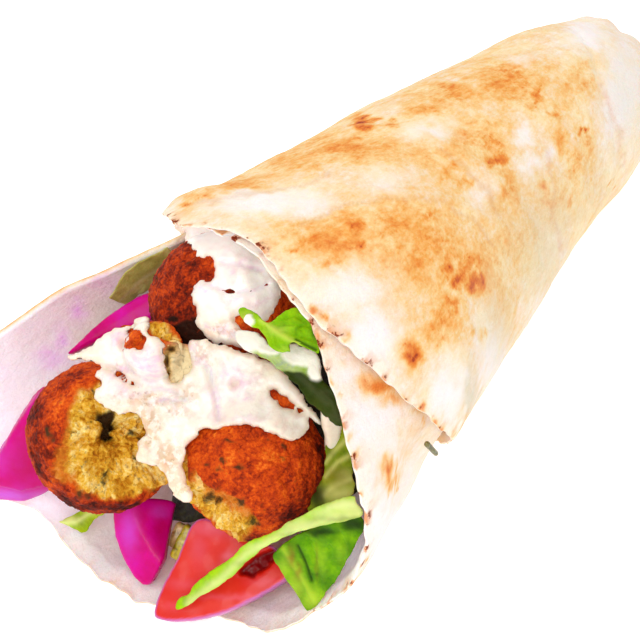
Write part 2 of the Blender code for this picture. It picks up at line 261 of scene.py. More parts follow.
def cutSheet(wide, high, cell, depthIn):
    # a grid of this half size and cell trimmed to where depthIn(x, y) is above 0, then given its second skin
    shape = bmesh.new()
    columns, rows = round(2 * wide / cell), round(2 * high / cell)
    bmesh.ops.create_grid(shape, x_segments=columns, y_segments=rows, size=1)
    bmesh.ops.scale(shape, verts=shape.verts[:], vec=(wide, high, 1))
    shape.verts.index_update()
    x, y, _ = placesOf(shape).T
    inside = depthIn(x, y)
    slopeX = (depthIn(x + trim["step"], y) - inside) / trim["step"]
    slopeY = (depthIn(x, y + trim["step"]) - inside) / trim["step"]
    steep = np.maximum(slopeX**2 + slopeY**2, trim["flattest"])
    move = np.clip(np.where(inside < 0, -inside, 0), 0, trim["longest"] * cell)
    movePoints(shape, flatAt(x + move * slopeX / steep, y + move * slopeY / steep))
    outside = [face for face in shape.faces if all(inside[vert.index] < 0 for vert in face.verts)]
    bmesh.ops.delete(shape, geom=outside, context="FACES")
    return shape, *secondSkin(shape)


class Link:
    # a shader socket that can stand in sums
    def __init__(self, paint, socket):
        self.paint, self.socket = paint, socket

    def sum(self, operation, first, second):
        return self.paint.node("Math", {"operation": operation}, {0: first, 1: second})

    def __add__(self, other):
        return self.sum("ADD", self, other)

    __radd__ = __add__

    def __mul__(self, other):
        return self.sum("MULTIPLY", self, other)

    __rmul__ = __mul__

    def __sub__(self, other):
        return self.sum("SUBTRACT", self, other)

    def __rsub__(self, other):
        return self.sum("SUBTRACT", other, self)


fixedSockets = {
    "colour": "Base Color",
    "rough": "Roughness",
    "shine": "Specular IOR Level",
    "coatRough": "Coat Roughness",
    "scatter": "Subsurface Weight",
    "scatterDepth": "Subsurface Scale",
    "glow": "Emission Strength",
    "glowColour": "Emission Color",
}


class Paint:
    # a Principled material: fixed values set on its own sockets, links for what changes over the surface
    def __init__(self, name, **fixed):
        self.material = bpy.data.materials.new(name)
        self.material.use_nodes = True
        self.tree = self.material.node_tree
        self.shader = self.tree.nodes["Principled BSDF"]
        for setting, value in fixed.items():
            self.shader.inputs[fixedSockets[setting]].default_value = value

    def node(self, kind, settings, sockets, output=0):
        made = self.tree.nodes.new("ShaderNode" + kind)
        for setting, value in settings.items():
            if setting != "stops":
                setattr(made, setting, value)
                continue
            stops = made.color_ramp.elements
            while len(stops) < len(value):
                stops.new(0.5)
            for stop, (place, colour) in zip(stops, value):
                stop.position, stop.color = place, colour
        for socket, value in sockets.items():
            if isinstance(value, Link):
                self.tree.links.new(value.socket, made.inputs[socket])
            else:
                made.inputs[socket].default_value = value
        return Link(self, made.outputs[output])

    def masks(self, *names):
        return [self.mask(name) for name in names]

    def mask(self, name):
        return self.node("Attribute", {"attribute_name": name}, {}, "Fac")

    def texture(self, size, detail=3.0, rough=0.55, stretch=(1, 1, 1)):
        # noise with features of this many mm, around 0.5
        place = self.node("TexCoord", {}, {}, "Object")
        if stretch != (1, 1, 1):
            place = self.node("Mapping", {}, {"Vector": place, "Scale": stretch})
        sockets = {"Vector": place, "Scale": 1 / (size * mm), "Detail": detail, "Roughness": rough}
        return self.node("TexNoise", {}, sockets)

    def ramp(self, amount, *stops):
        # the colour at an amount: each stop is the amount, then red, green and blue
        stops = [(place, shade(*colour)) for place, *colour in stops]
        return self.node("ValToRGB", {"stops": stops}, {"Fac": amount}, "Color")

    def mix(self, share, first, second):
        sockets = {0: share, 6: first, 7: second}
        return self.node("Mix", {"data_type": "RGBA", "clamp_factor": True}, sockets, 2)

    def coats(self, colour, *layers):
        # a colour with layers of (share, (red, green, blue)) mixed over it in turn
        for share, layer in layers:
            colour = self.mix(share, colour, shade(*layer))
        return colour

    def between(self, low, high, amount):
        # 0 below low, 1 above high
        sockets = {"Value": amount, "From Min": low, "From Max": high}
        return self.node("MapRange", {"clamp": True}, sockets)

    def set(self, socket, link):
        self.tree.links.new(link.socket, self.shader.inputs[socket])

    def bump(self, height, depth):
        # height 0 to 1 raises the surface by this many mm
        sockets = {"Height": height, "Distance": depth * mm, "Strength": 1.0}
        self.set("Normal", self.node("Bump", {}, sockets))


def shade(red, green, blue):
    # a colour as seen on a screen, 0 to 255, in the linear values that shaders take
    linear = [((c / 255 + 0.055) / 1.055) ** 2.4 if c > 10 else c / 3300 for c in (red, green, blue)]
    return (*linear, 1)


bread = {
    "thickness": 1.7,
    "layerStep": 2.7,
    # distance along the roll, then place on its axis, radius there, height of the axis, bend sideways
    "sections": (
        (-80, -80, 42, 41, 0), (-25, -25, 41.2, 40, 0), (0, 0, 39.3, 38, -0.2), (40, 40, 35.3, 34, -1.5),
        (100, 100, 30.3, 29, -1.8), (145, 145, 26.4, 24.8, -1.2), (160, 159.5, 23.4, 22.6, -1),
        (170, 167.5, 18.6, 22, -1), (178, 171, 13, 22, -1), (186, 169.5, 8, 22, -1), (196, 161, 5.6, 22, -1),
        (204, 153, 5.2, 22, -1),
    ),
    "end": 204,
    "waves": ((0.4, 2, 22, 0.6), (0.28, 3, -13, 0)),  # mm high, waves around, mm along to a radian, shift
    "gathers": (150, 172, 20),  # the tail's folds begin, are full, and flatten below this radius
    "tailFolds": ((0.9, 7, 0), (0.5, 17, 1.3)),  # mm deep, folds around, how unevenly they lie
    "meanRadius": 34,
    "swells": ((0.55, 15, 1), (0.3, 6, 2, 1, 0.45, 1)),  # layers of lumps, as relief takes them
    "wrinkles": ((0.16, 2.6, 3), (0.08, 1.4, 4)),
    "wrinkleShare": 0.8,
    "flare": ((-70, 30), (-50, 26), (-34, 19.5), (-20, 13.3), (-10, 8), (0, 4.5), (9, 1.6), (20, 0)),
    "flareTurn": 195,
    "flareHalfWidth": 80,
    # rims as (turn, place along), loose long edges as (place along, turn)
    "outerRim": (
        (97, -20.5), (120, -13), (135, -5), (150, 0), (172, 9), (200, 13), (270, 15), (318, 12), (346, 0),
        (366, -12.7), (377, -17.6), (390, -23.6), (409, -27.8), (421, -28.7), (435, -24.6), (452, -21.6),
        (465, -23.8), (482, -18.5),
    ),
    "outerEnd": ((-18.5, 482), (-2, 491), (5, 492), (20, 499), (40, 506), (204, 510)),
    "outerMiddle": (0.38, 350),  # this share of the columns lies before this turn
    "innerRim": (
        (195, -61), (205, -59), (215, -55), (223, -48.5), (230, -46), (237, -50), (245, -52.2),
        (255, -53.7), (265, -53), (275, -50), (285, -47.3), (307, -47.2), (319, -43.8), (330, -42),
        (345, -43), (360, -41.5), (378, -40.9), (394, -36.9), (409, -31.7), (435, -24.4), (454, -20),
    ),
    "innerStart": (
        (-61, 195), (-50, 189), (-33, 182.5), (-20, 175.5), (-10.6, 170), (-4.6, 161), (0, 155), (9, 151),
        (30, 149), (204, 149),
    ),
    "innerEnd": 454,
    "comesOut": (150, 210),  # the outer sheet comes out from under its own flap between these turns
    "secondRound": 300,
    "innerLast": 145,
    "underlap": (26, 2, 0.2),  # it goes under from and to this far before the outer rim; inset until there
    "bunching": {"outer": (1.3, 4), "inner": (2.2, 3)},  # of rows to the rim, of columns to the edge
    "torn": {"outer": ((1.6, 7, 5), (1.1, 2.4, 6)), "inner": ((1.6, 7, 9), (1.1, 2.4, 10))},
    "tornEdge": 0.75,  # how far the torn rims wander
    "tornRadius": 36,
    "rimReach": 40,  # the farthest that a distance from the rim counts
    "rimTaper": 4.0,  # how far in from a rim the bread reaches its thickness
    "rimThin": 0.3,
    "innerSkin": (0.12, 2.2, 51),
    "dents": {  # mm out, then turn and place along, and how wide that way
        "outer": ((1.1, 364, -4, 14, 14), (1.8, 120, -7, 13, 7), (3.2, 92, 171, 42, 9)),
        "inner": ((-3.2, 353, -19, 16, 12),),
    },
    "creases": (  # soft folds across the roll: (turn, along) points, width and height
        (((395, 40), (410, 33), (425, 22), (440, 10)), 2.6, 0.55),
        (((380, 50), (392, 51), (419, 48), (447, 45), (470, 40)), 3.2, 0.6),
        (((365, 70), (383, 86), (405, 88), (430, 80)), 3.0, 0.4),
        (((368, 113), (388, 114), (407, 116), (430, 131), (468, 150)), 2.6, -0.8),
    ),
    "creaseFade": (12, 4),  # degrees beyond and within a crease's ends
}
sectionColumns = {"place": 1, "radius": 2, "height": 3, "bend": 4}


def section(along, column):
    return curveThrough([(row[0], row[sectionColumns[column]]) for row in bread["sections"]], along)


def turnFrom(turn, middle):
    return (turn - middle + 180) % 360 - 180


def breadRelief(turn, along):
    # the dents and swells that the CAD has too, then finer wrinkles, folds and pores
    angle = np.radians(turn)
    broad = np.zeros_like(turn)
    for high, count, reach, shift in bread["waves"]:
        broad += high * np.sin(count * angle + along / reach + shift)
    start, full, radius = bread["gathers"]
    gather = rise(start, full, along) * np.minimum(1, section(along, "radius") / radius)
    for deep, count, uneven in bread["tailFolds"]:
        broad += deep * np.cos(count * angle + uneven * np.sin(3 * angle)) * gather
    sheet = flatAt(angle * bread["meanRadius"], along)
    fine = relief(sheet, *bread["swells"], *bread["wrinkles"])
    beyond, within = bread["creaseFade"]
    for points, width, height in bread["creases"]:
        first, last = points[0][0], points[-1][0]
        fade = rise(first - beyond, first + within, turn) * (1 - rise(last - within, last + beyond, turn))
        fine += height * fade * hill(along - curveThrough(points, turn), width)
    return broad, fine


def dentsOut(turn, along, layer):
    # where the flap stands off beside its corner, and where the roll swells or sinks
    out = np.zeros_like(turn)
    for height, atTurn, atAlong, wideTurn, wideAlong in bread["dents"][layer]:
        out += height * hill(turnFrom(turn, atTurn), wideTurn) * hill(along - atAlong, wideAlong)
    return out


def flareOut(turn, place):
    off = turnFrom(turn, bread["flareTurn"]) / bread["flareHalfWidth"]
    near = np.where(np.abs(off) < 1, 1, 0)
    return near * curveThrough(bread["flare"], place) * (1 + np.cos(np.pi * off)) / 2


def rollPoints(turn, along, inset):
    # points of a layer whose outer side lies this far inside the roll's own
    place, radius = section(along, "place"), section(along, "radius")
    ahead = section(along + 1, "place") - section(along - 1, "place")
    wider = section(along + 1, "radius") - section(along - 1, "radius")
    length = np.sqrt(ahead**2 + wider**2)
    broad, fine = breadRelief(turn, along)
    out = fine * bread["wrinkleShare"] - inset
    radius = radius + broad + flareOut(turn, place) + out * ahead / length
    place = place - out * wider / length
    angle = np.radians(turn)
    height = section(along, "height") + radius * np.sin(angle)
    sideways = section(along, "bend") + radius * np.cos(angle)
    return np.stack((sideways, place, np.maximum(height, inset)), axis=1)


def outerInset(turn):
    return bread["layerStep"] * (1 - rise(*bread["comesOut"], turn))


def innerInset(turn, along):
    rim = curveThrough(bread["outerRim"], np.where(turn > bread["comesOut"][0], turn, turn + 360))
    under = bread["layerStep"] + np.where(turn < bread["secondRound"], outerInset(turn), 0)
    behind, before, free = bread["underlap"]
    return free + (under - free) * rise(rim - behind, rim - before, along)


def tornRim(layer, turn):
    around = flatAt(np.radians(turn) * bread["tornRadius"], np.zeros_like(turn))
    torn = bread["tornEdge"] * relief(around, *bread["torn"][layer])
    return curveThrough(bread[layer + "Rim"], turn) + torn


# Both layouts give the turn, the place along, the distance in from the rim and the depth of the layer.
def outerLayout(u, v):
    first, last = bread["outerRim"][0][0], bread["outerEnd"][0][1]
    share, middle = bread["outerMiddle"]
    rows, columns = bread["bunching"]["outer"]
    turn = np.interp(u, (0, share, 1), (first, middle, last))
    rim = tornRim("outer", turn)
    along = rim + (bread["end"] - rim) * v**rows
    turn = turn + (curveThrough(bread["outerEnd"], along) - last) * u**columns
    inset = outerInset(turn) - dentsOut(turn, along, "outer")
    return turn, along, np.minimum(along - rim, bread["rimReach"]), inset


def innerLayout(u, v):
    first = bread["innerStart"][0][1]
    rows, columns = bread["bunching"]["inner"]
    turn = first + (bread["innerEnd"] - first) * u
    rim = tornRim("inner", turn)
    along = rim + (bread["innerLast"] - rim) * v**rows
    turn = turn + (curveThrough(bread["innerStart"], along) - first) * (1 - u) ** columns
    inset = innerInset(turn, along) - dentsOut(turn, along, "inner")
    return turn, along, np.minimum(along - rim, bread["rimReach"]), inset


# Toasting, tints, and painted light and shade on the sides that show, in the photograph's pixels: (x, y,
# half width, half height, strength). After them, burnt edges and painted shadow lines with their widths, and
# the lines of soft folds, along which shade is painted.
toasting = {
    "outer": (
        (338, 243, 42, 24, 0.62), (356, 230, 7, 7, 0.8), (360, 247, 6, 7, 0.82), (331, 262, 9, 5, 0.72),
        (299, 247, 4, 3, 0.75), (312, 236, 14, 6, 0.6), (425, 250, 62, 48, 0.5), (430, 214, 11, 6, 0.68),
        (445, 241, 4, 4, 0.75), (459, 279, 8, 8, 0.95), (476, 283, 11, 9, 0.84), (447, 268, 9, 8, 0.75),
        (455, 304, 10, 9, 0.72), (470, 262, 16, 20, 0.62), (414, 352, 9, 15, 0.95), (408, 345, 6, 9, 0.8),
        (474, 331, 8, 6, 0.62), (440, 322, 26, 22, 0.5), (438, 342, 12, 9, 0.55), (361, 124, 8, 7, 0.92),
        (368, 118, 12, 4, 0.8), (392, 122, 9, 5, 0.68), (340, 148, 50, 15, 0.5), (290, 160, 34, 12, 0.5),
        (240, 183, 34, 7, 0.55), (203, 195, 16, 6, 0.62), (187, 203, 6, 6, 0.85), (198, 197, 2, 2, 0.95),
        (451, 169, 6, 6, 0.66), (468, 184, 6, 5, 0.64), (440, 176, 5, 5, 0.55), (497, 159, 10, 9, 0.72),
        (490, 138, 18, 16, 0.58), (508, 190, 14, 22, 0.58), (470, 135, 26, 20, 0.45), (510, 80, 38, 20, 0.5),
        (500, 72, 22, 7, 0.5), (538, 96, 8, 12, 0.6), (540, 91, 3, 4, 0.85), (535, 104, 6, 4, 0.7),
        (450, 92, 32, 12, 0.58), (425, 108, 20, 10, 0.5), (400, 150, 70, 22, 0.36), (555, 112, 10, 6, 0.58),
        (580, 131, 3, 5, 0.95), (563, 142, 9, 12, 0.5), (575, 162, 9, 16, 0.5), (568, 199, 7, 6, 0.6),
        (543, 190, 6, 6, 0.62), (610, 184, 1.6, 1.6, 1), (590, 150, 10, 24, 0.42), (555, 205, 22, 26, 0.4),
        (520, 240, 26, 34, 0.36), (500, 300, 16, 40, 0.34), (580, 80, 26, 26, 0.36), (487, 268, 12, 22, 0.5),
        (395, 225, 30, 12, 0.5), (300, 226, 30, 5, 0.5), (345, 338, 4, 5, 0.75), (312, 315, 5, 4, 0.85),
        (322, 322, 4, 3, 0.85), (402, 402, 4, 4, 0.9), (419, 408, 5, 4, 0.85), (436, 424, 6, 4, 0.9),
        (466, 420, 4, 9, 0.6), (462, 432, 4, 5, 0.7),
    ),
    "inner": (
        (380, 384, 20, 11, 0.95), (376, 386, 9, 10, 1), (394, 398, 14, 6, 0.8), (388, 470, 9, 14, 1),
        (393, 482, 5, 8, 0.8), (395, 492, 2, 2, 1), (331, 382, 4, 4, 0.8), (320, 334, 5, 5, 0.8),
        (322, 347, 6, 3, 0.85), (339, 400, 3, 3, 0.75), (347, 437, 8, 3, 0.7), (352, 453, 8, 4, 0.78),
        (350, 456, 2, 2, 1), (354, 477, 3, 3, 0.85), (359, 495, 3, 3, 0.85), (362, 510, 3, 3, 0.85),
        (358, 554, 4, 5, 0.85), (349, 574, 4, 4, 0.75), (343, 583, 6, 5, 0.9), (338, 589, 3, 3, 0.95),
        (424, 420, 4, 9, 0.7), (412, 430, 12, 16, 0.42), (405, 450, 8, 16, 0.4), (415, 410, 10, 4, 0.6),
    ),
    "lip": (
        (45, 296, 30, 4, 0.68), (19, 310, 5, 3, 0.72), (62, 285, 10, 3, 0.7), (130, 254, 8, 2.5, 0.8),
        (165, 242, 22, 2, 0.8), (64, 538, 5, 3, 0.9), (118, 585, 5, 3, 0.9), (36, 520, 3, 3, 0.7),
        (92, 562, 4, 3, 0.6),
    ),
}
stains = {
    # painted shade: lilac shading on the lip's inside, beside the turnip
    "lilac": (
        (80, 310, 7, 11, 1), (62, 335, 7, 9, 1), (49, 356, 14, 12, 0.85), (104, 280, 18, 14, 0.45),
        (70, 300, 40, 14, 0.25), (20, 330, 30, 16, 0.2), (4, 372, 10, 12, 0.15),
    ),
    # painted shade: olive-grey shading on the lip's inside
    "olive": (
        (150, 262, 24, 16, 0.95), (120, 292, 22, 10, 0.6), (104, 306, 20, 16, 0.85), (84, 326, 14, 10, 0.5),
    ),
    # painted shade: grey shading on the lower lip
    "grey": (
        (60, 530, 40, 24, 0.7), (100, 560, 40, 26, 0.75), (150, 600, 50, 24, 0.7), (240, 622, 60, 16, 0.7),
        (320, 604, 30, 16, 0.5),
    ),
    "mauve": ((108, 282, 16, 10, 0.6), (92, 292, 3, 3, 0.8), (125, 268, 12, 8, 0.4)),
    # painted shade on the roll's shaded lower right side
    "shade": (
        (540, 250, 34, 60, 0.6), (500, 330, 20, 60, 0.5), (600, 190, 20, 40, 0.4), (470, 395, 8, 30, 0.8),
        (402, 468, 10, 40, 0.5), (560, 215, 30, 20, 0.5), (627, 100, 20, 70, 0.35),
    ),
    # painted light: where the shaded inside of the sheet is lightened and glows
    "lit": ((352, 560, 20, 60, 1), (335, 600, 26, 16, 0.8)),
    "innerWhite": (
        (385, 440, 60, 110, 0.85), (365, 430, 34, 44, 1), (392, 420, 16, 14, 0.8), (380, 530, 30, 50, 1),
        (350, 375, 26, 22, 0.8), (250, 250, 50, 20, 1), (300, 320, 26, 26, 0.7), (405, 470, 14, 20, 0.6),
    ),
    "white": (
        (260, 203, 44, 12, 1), (300, 203, 30, 14, 0.8), (345, 292, 42, 26, 1), (370, 340, 30, 34, 1),
        (450, 392, 24, 34, 1), (492, 360, 18, 50, 0.8), (552, 240, 20, 50, 0.4), (430, 133, 24, 9, 0.9),
        (386, 180, 24, 10, 0.6), (490, 190, 8, 12, 0.5), (524, 138, 9, 8, 0.7), (531, 165, 9, 7, 0.6),
        (622, 90, 22, 60, 1), (588, 36, 22, 16, 1), (520, 61, 12, 6, 0.7), (540, 330, 20, 60, 0.5),
        (546, 153, 7, 7, 0.6), (480, 200, 7, 10, 0.6),
    ),
}
lines = {
    # burnt torn edges, and painted shadow in the dark gaps beside them
    "scorch": (
        (((146, 247), (155, 243), (171, 239), (185, 238)), 1.6), (((182, 243), (188, 250)), 2.2),
        (((201, 231), (212, 233), (225, 233)), 2),
    ),
    # lines along the folds, where shade is painted
    "folds": (
        ((303, 226), (330, 212), (370, 200), (420, 197), (449, 203), (475, 222), (490, 245)),
        ((438, 148), (462, 165), (485, 190), (500, 215)), ((600, 85), (612, 110), (621, 140), (624, 165)),
        ((190, 205), (240, 196), (290, 188), (330, 176)), ((545, 150), (555, 180), (552, 215), (560, 250)),
    ),
}
breadMarks = {
    "facing": (318, 328),  # the side that shows begins between these turns
    "lipEnd": 330,  # the inner sheet's inside shows up to this turn, and this far along
    "lipDepth": 30,
    "warp": (((9, 5, 21), (5, 2, 23)), ((9, 5, 22), (5, 2, 24))),  # what makes the patches uneven, in pixels
    "hidden": {"breadOuter": 31, "breadInner": 35},
    # the toasting on the hidden sides: layers of lumps, then strength and where it begins and is full
    "pale": (((1, 26, 0), (0.5, 11, 1)), 0.42, -0.1, 0.4),
    "brown": (((1, 9, 2),), 0.4, 0.33, 0.5),
    "rim": 1.8,
    "innerRim": 0.25,
    "fold": 2.2,
    "insideWhite": {"breadOuter": 0.8, "breadInner": 0.9},
    "shadeShare": 0.85,
    "lipToast": 0.7,
    # painted light: the inside is lightened and glows up to here from the rim, and up to these turns
    "deep": ((6, 60), (212, 250)),  # it is light from behind up to here from the rim, and up to these turns
}


def hiddenToast(turn, along, seed):
    # a plausible toasting for the sides that the photograph doesn't show
    sheet = np.stack((np.radians(turn) * bread["meanRadius"], along, np.full_like(along, seed)), axis=1)
    toast = np.zeros_like(turn)
    for layers, strength, low, high in (breadMarks["pale"], breadMarks["brown"]):
        patches = relief(sheet, *((share, across, seed + own) for share, across, own in layers))
        toast += strength * rise(low, high, patches)
    return toast


def breadMasks(name, turn, along, fromRim, second, points):
    pixels, _ = seenAt(points)
    warp = np.stack([relief(points, *layers) for layers in breadMarks["warp"]], axis=1)
    stained = {mark: spots(pixels + warp, patches) for mark, patches in (toasting | stains).items()}
    facing = rise(*breadMarks["facing"], turn)
    hidden = (1 - facing) * hiddenToast(turn, along, breadMarks["hidden"][name])
    rim = np.exp(-fromRim / breadMarks["rim"])
    insideWhite = breadMarks["insideWhite"][name]
    if name == "breadOuter":
        lip = np.zeros(len(points))
        toast = (facing * stained["outer"] + hidden) * ~second
        white = np.where(second, insideWhite, facing * stained["white"])
        # painted shade on the roll's shaded side
        olive = breadMarks["shadeShare"] * facing * stained["shade"]
        rim *= ~second
    else:
        lip = second & (turn < breadMarks["lipEnd"]) & (along < breadMarks["lipDepth"])
        lipToast = breadMarks["lipToast"] * lip * stained["lip"]
        toast = np.where(second, lipToast, facing * stained["inner"] + hidden)
        white = np.where(turn < breadMarks["lipEnd"], insideWhite * second, facing * stained["innerWhite"])
        olive = lip * stained["olive"]
        rim *= np.where(turn > breadMarks["facing"][0], 1, breadMarks["innerRim"])
    shown = np.maximum(facing, lip)
    # burnt edges and painted shadow lines
    scorch = [shown * alongLine(pixels, line, wide) for line, wide in lines["scorch"]]
    wandering = pixels + warp / 2
    # painted shade along the folds
    folds = [shown * ~second * alongLine(wandering, line, breadMarks["fold"]) for line in lines["folds"]]
    # painted light: the inside near the rim, and the lit patches, are lightened and glow
    fromEdge, towardsTop = breadMarks["deep"]
    depth = second * (1 - rise(*fromEdge, fromRim) - rise(*towardsTop, turn))
    # painted shade: lilac and grey on the lip's inside; mauve mixes in darker pinkish patches there
    masks = {mark: lip * stained[mark] for mark in ("lilac", "mauve", "grey")}
    return masks | {
        "toast": toast, "white": white, "olive": olive, "rim": rim,
        "scorch": np.maximum.reduce(scorch), "fold": np.maximum.reduce(folds),
        "depth": np.maximum(depth, second * stained["lit"]),
    }


def breadPaint():
    # painted light: its glow, fed by the depth mask, and a cool lightening of the same places light up the
    # shaded inside of the sheet
    paint = Paint("bread, toasted", rough=0.8, shine=0.15, scatter=0.15, scatterDepth=0.004, glow=0.28)
    toast, white, rim, depth = paint.masks("toast", "white", "rim", "depth")
    longer = (1, 0.55, 1)
    coarse, soft = paint.texture(10.0, 3, 0.5, longer), paint.texture(3.4, 3, 0.5, longer)
    fine, mottle = paint.texture(0.7, 3, 0.6, longer), paint.texture(1.5, 3, 0.6, longer)
    pores = paint.between(0.64, 0.72, paint.texture(1.2, 2, 0.5))
    plain = 1 - white * 0.8
    ground = 0.32 + (coarse - 0.5) * 0.3 + (soft - 0.5) * 0.35
    grain = (mottle - 0.5) * (0.35 + toast * 0.4) + (fine - 0.5) * 0.3
    amount = toast * (0.34 + toast * 0.36) + (ground + grain) * plain - white * 0.04
    creamy = paint.between(0.46, 0.6, paint.texture(12.0, 2, 0.5)) * paint.between(0.6, 0.2, amount) * plain
    cool = paint.between(0.35, 0.7, coarse) * white * (1 - toast)
    browned = rim * paint.between(0.5, 0.6, soft)
    dots = paint.between(0.3, 0.6, browned) * paint.between(0.52, 0.58, mottle)
    colour = paint.ramp(
        amount + pores * (toast + 0.1) * 0.2,
        (0.0, 249, 240, 237), (0.14, 248, 231, 218), (0.28, 244, 213, 174), (0.42, 243, 195, 128),
        (0.56, 239, 167, 84), (0.7, 230, 134, 50), (0.86, 210, 98, 34), (1.0, 158, 58, 22),
    )
    colour = paint.coats(
        colour,
        (creamy * 0.5, (252, 230, 176)),
        (cool * 0.5, (246, 241, 252)),
        # the grey, olive and lilac layers are painted shade on the lip's inside and the roll's shaded side
        (paint.mask("grey"), (212, 217, 214)),
        (paint.mask("olive") * (0.8 + (fine - 0.5) * 0.6), (201, 192, 162)),
        (paint.mask("mauve") * (0.8 + (fine - 0.5)), (200, 150, 158)),
        (paint.mask("lilac") * (0.85 + (fine - 0.5)), (240, 170, 244)),
        # painted shade along the folds
        (paint.mask("fold") * (0.2 + fine * 0.3), (214, 158, 116)),
        # painted light on the shaded inside
        (depth * 0.6, (238, 242, 255)),
        (rim * (0.6 - toast * 0.6), (252, 240, 224)),
        (browned * 0.85, (218, 132, 66)),
        (dots, (124, 48, 20)),
        # burnt edges, and painted shadow in the gaps beside them
        (paint.mask("scorch") * paint.between(0.4, 0.5, mottle), (96, 42, 20)),
    )
    paint.set("Base Color", colour)
    paint.set("Emission Color", paint.mix(depth, shade(0, 0, 0), colour))
    paint.set("Roughness", 0.86 - toast * 0.22)
    paint.bump(fine * 0.4 + mottle * 0.3 + soft * 0.7, 0.55)
    return paint.material


def breadSheet(name, node, columns, rows, layout, material):
    shape, u, v, second = twoSkins(columns, rows)
    turn, along, fromRim, inset = layout(u, v)
    thin = bread["rimThin"]
    thick = bread["thickness"] * (thin + (1 - thin) * rise(0, bread["rimTaper"], fromRim))
    points = rollPoints(turn, along, inset + np.where(second, thick, 0))
    points += (second * relief(points, bread["innerSkin"]))[:, None]
    movePoints(shape, points)
    finishMesh(name, node, shape, "bread", material, breadMasks(name, turn, along, fromRim, second, points))


# Falafels, in mm; the patches and outlines on them are the photograph's pixels.
# the burnt patches are partly darker fried crust and partly painted shade at the balls' rims and over the
# back ball
falafels = {
    "falafelLeft": {
        "node": "falafel_left", "middle": (-21.6, -42, 32.7), "radius": 15.8, "seed": 3,
        "breaks": (((0.76, -0.44, 0.48), 0.66, 0.16),),
        "burnt": (
            (34, 420, 9, 44, 0.7), (60, 503, 34, 9, 0.7), (120, 508, 60, 6, 0.9), (42, 455, 12, 16, 0.5),
            (48, 432, 6, 8, 0.5),
        ),
        "soft": (
            (90, 383), (78, 392), (68, 404), (70, 421), (62, 440), (52, 456), (50, 472), (56, 482),
            (74, 489), (98, 495), (120, 494), (150, 491), (168, 486), (190, 470), (190, 400), (150, 370),
            (110, 372),
        ),
        "half": (
            (60, 410), (56, 436), (42, 456), (38, 474), (46, 490), (72, 500), (100, 503), (60, 480),
            (66, 440),
        ),
        "herbs": (
            (48, 433, 4, 6, 1), (52, 440, 3, 4, 0.8), (80, 494, 5, 4, 1), (88, 497, 4, 3, 0.9),
            (105, 478, 6, 5, 1), (103, 486, 4, 4, 0.9), (134, 433, 5, 4, 1), (140, 439, 3, 2, 1),
            (92, 387, 2, 2, 0.9), (89, 420, 1.6, 1.6, 0.9), (97, 416, 1.6, 1.6, 0.9), (137, 460, 2, 2, 1),
            (141, 463, 3, 1.4, 0.9), (83, 468, 2, 6, 0.6), (70, 432, 4, 2, 0.6), (155, 491, 5, 2, 0.8),
        ),
        "holes": (
            (107, 412, 13, 9, 1), (108, 423, 9, 12, 1), (105, 435, 8, 11, 1), (72, 433, 7, 2, 0.5),
            (85, 462, 2, 7, 0.5), (137, 447, 3, 9, 0.5), (112, 441, 4, 3, 0.9), (91, 390, 3, 8, 0.5),
            (60, 465, 3, 5, 0.4), (128, 484, 6, 2, 0.4),
        ),
    },
    "falafelRight": {
        "node": "falafel_right", "middle": (9.5, -33, 32.8), "radius": 14.4, "seed": 8, "wider": 1.3,
        "breaks": (((-0.15, -0.98, -0.12), 0.8, 0.12),),
        "burnt": (
            (326, 440, 9, 44, 0.9), (300, 514, 22, 16, 0.6), (240, 545, 46, 7, 0.6), (300, 425, 30, 6, 0.3),
        ),
        "soft": (
            (172, 462), (186, 446), (190, 456), (186, 470), (196, 484), (212, 488), (226, 492), (238, 500),
            (250, 512), (258, 524), (250, 536), (238, 544), (222, 542), (206, 530), (190, 508), (180, 490),
        ),
        "half": (
            (186, 442), (200, 448), (204, 474), (228, 482), (246, 498), (262, 520), (240, 515), (205, 492),
        ),
        "herbs": (
            (211, 497, 5, 5, 1), (216, 502, 4, 4, 0.9), (240, 502, 5, 5, 1), (252, 524, 6, 3, 1),
            (258, 526, 4, 3, 0.9), (229, 441, 5, 2, 0.9), (223, 461, 3, 3, 0.9), (237, 467, 7, 2, 0.9),
            (206, 464, 3, 2, 0.8), (284, 446, 2, 3, 0.8), (262, 505, 3, 2, 0.6), (300, 500, 4, 2, 0.6),
            (268, 440, 2, 1.4, 0.7), (283, 458, 3, 2, 0.7), (218, 469, 4, 3, 0.7),
        ),
        "holes": ((213, 500, 2, 4, 0.5), (241, 504, 3, 3, 0.3)),
    },
    "falafelBack": {
        "node": "falafel_back", "middle": (-11.8, -12, 51.4), "radius": 15.6, "seed": 5, "breaks": (),
        "burnt": ((180, 290, 70, 80, 0.45), (192, 318, 22, 14, 0.7), (150, 296, 8, 30, 0.5)), "soft": (),
        "half": (), "herbs": ((189, 263, 3, 2, 0.9), (157, 279, 2, 2, 0.7)),
        "holes": (
            (186, 327, 18, 9, 1), (200, 322, 10, 8, 1), (172, 318, 8, 5, 0.8), (190, 339, 26, 9, 1),
            (215, 347, 16, 6, 1),
        ),
    },
    "falafelCrumb": {
        "node": "falafel_crumb", "middle": (-12.5, -34.3, 54.8), "radius": 5.9, "seed": 14,
        "breaks": (((0.6, -0.5, 0.5), 0.5, 0.25),), "burnt": (),
        "soft": (
            (152, 312), (180, 316), (200, 345), (200, 390), (160, 396), (152, 372), (152, 345), (148, 330),
        ),
        "half": (),
        "herbs": ((165, 323, 2, 1.4, 0.8), (161, 336, 2, 2, 1), (168, 357, 3, 2, 1), (169, 364, 3, 2, 1)),
        "holes": ((166, 362, 5, 13, 1), (170, 348, 7, 4, 0.9)),
    },
}
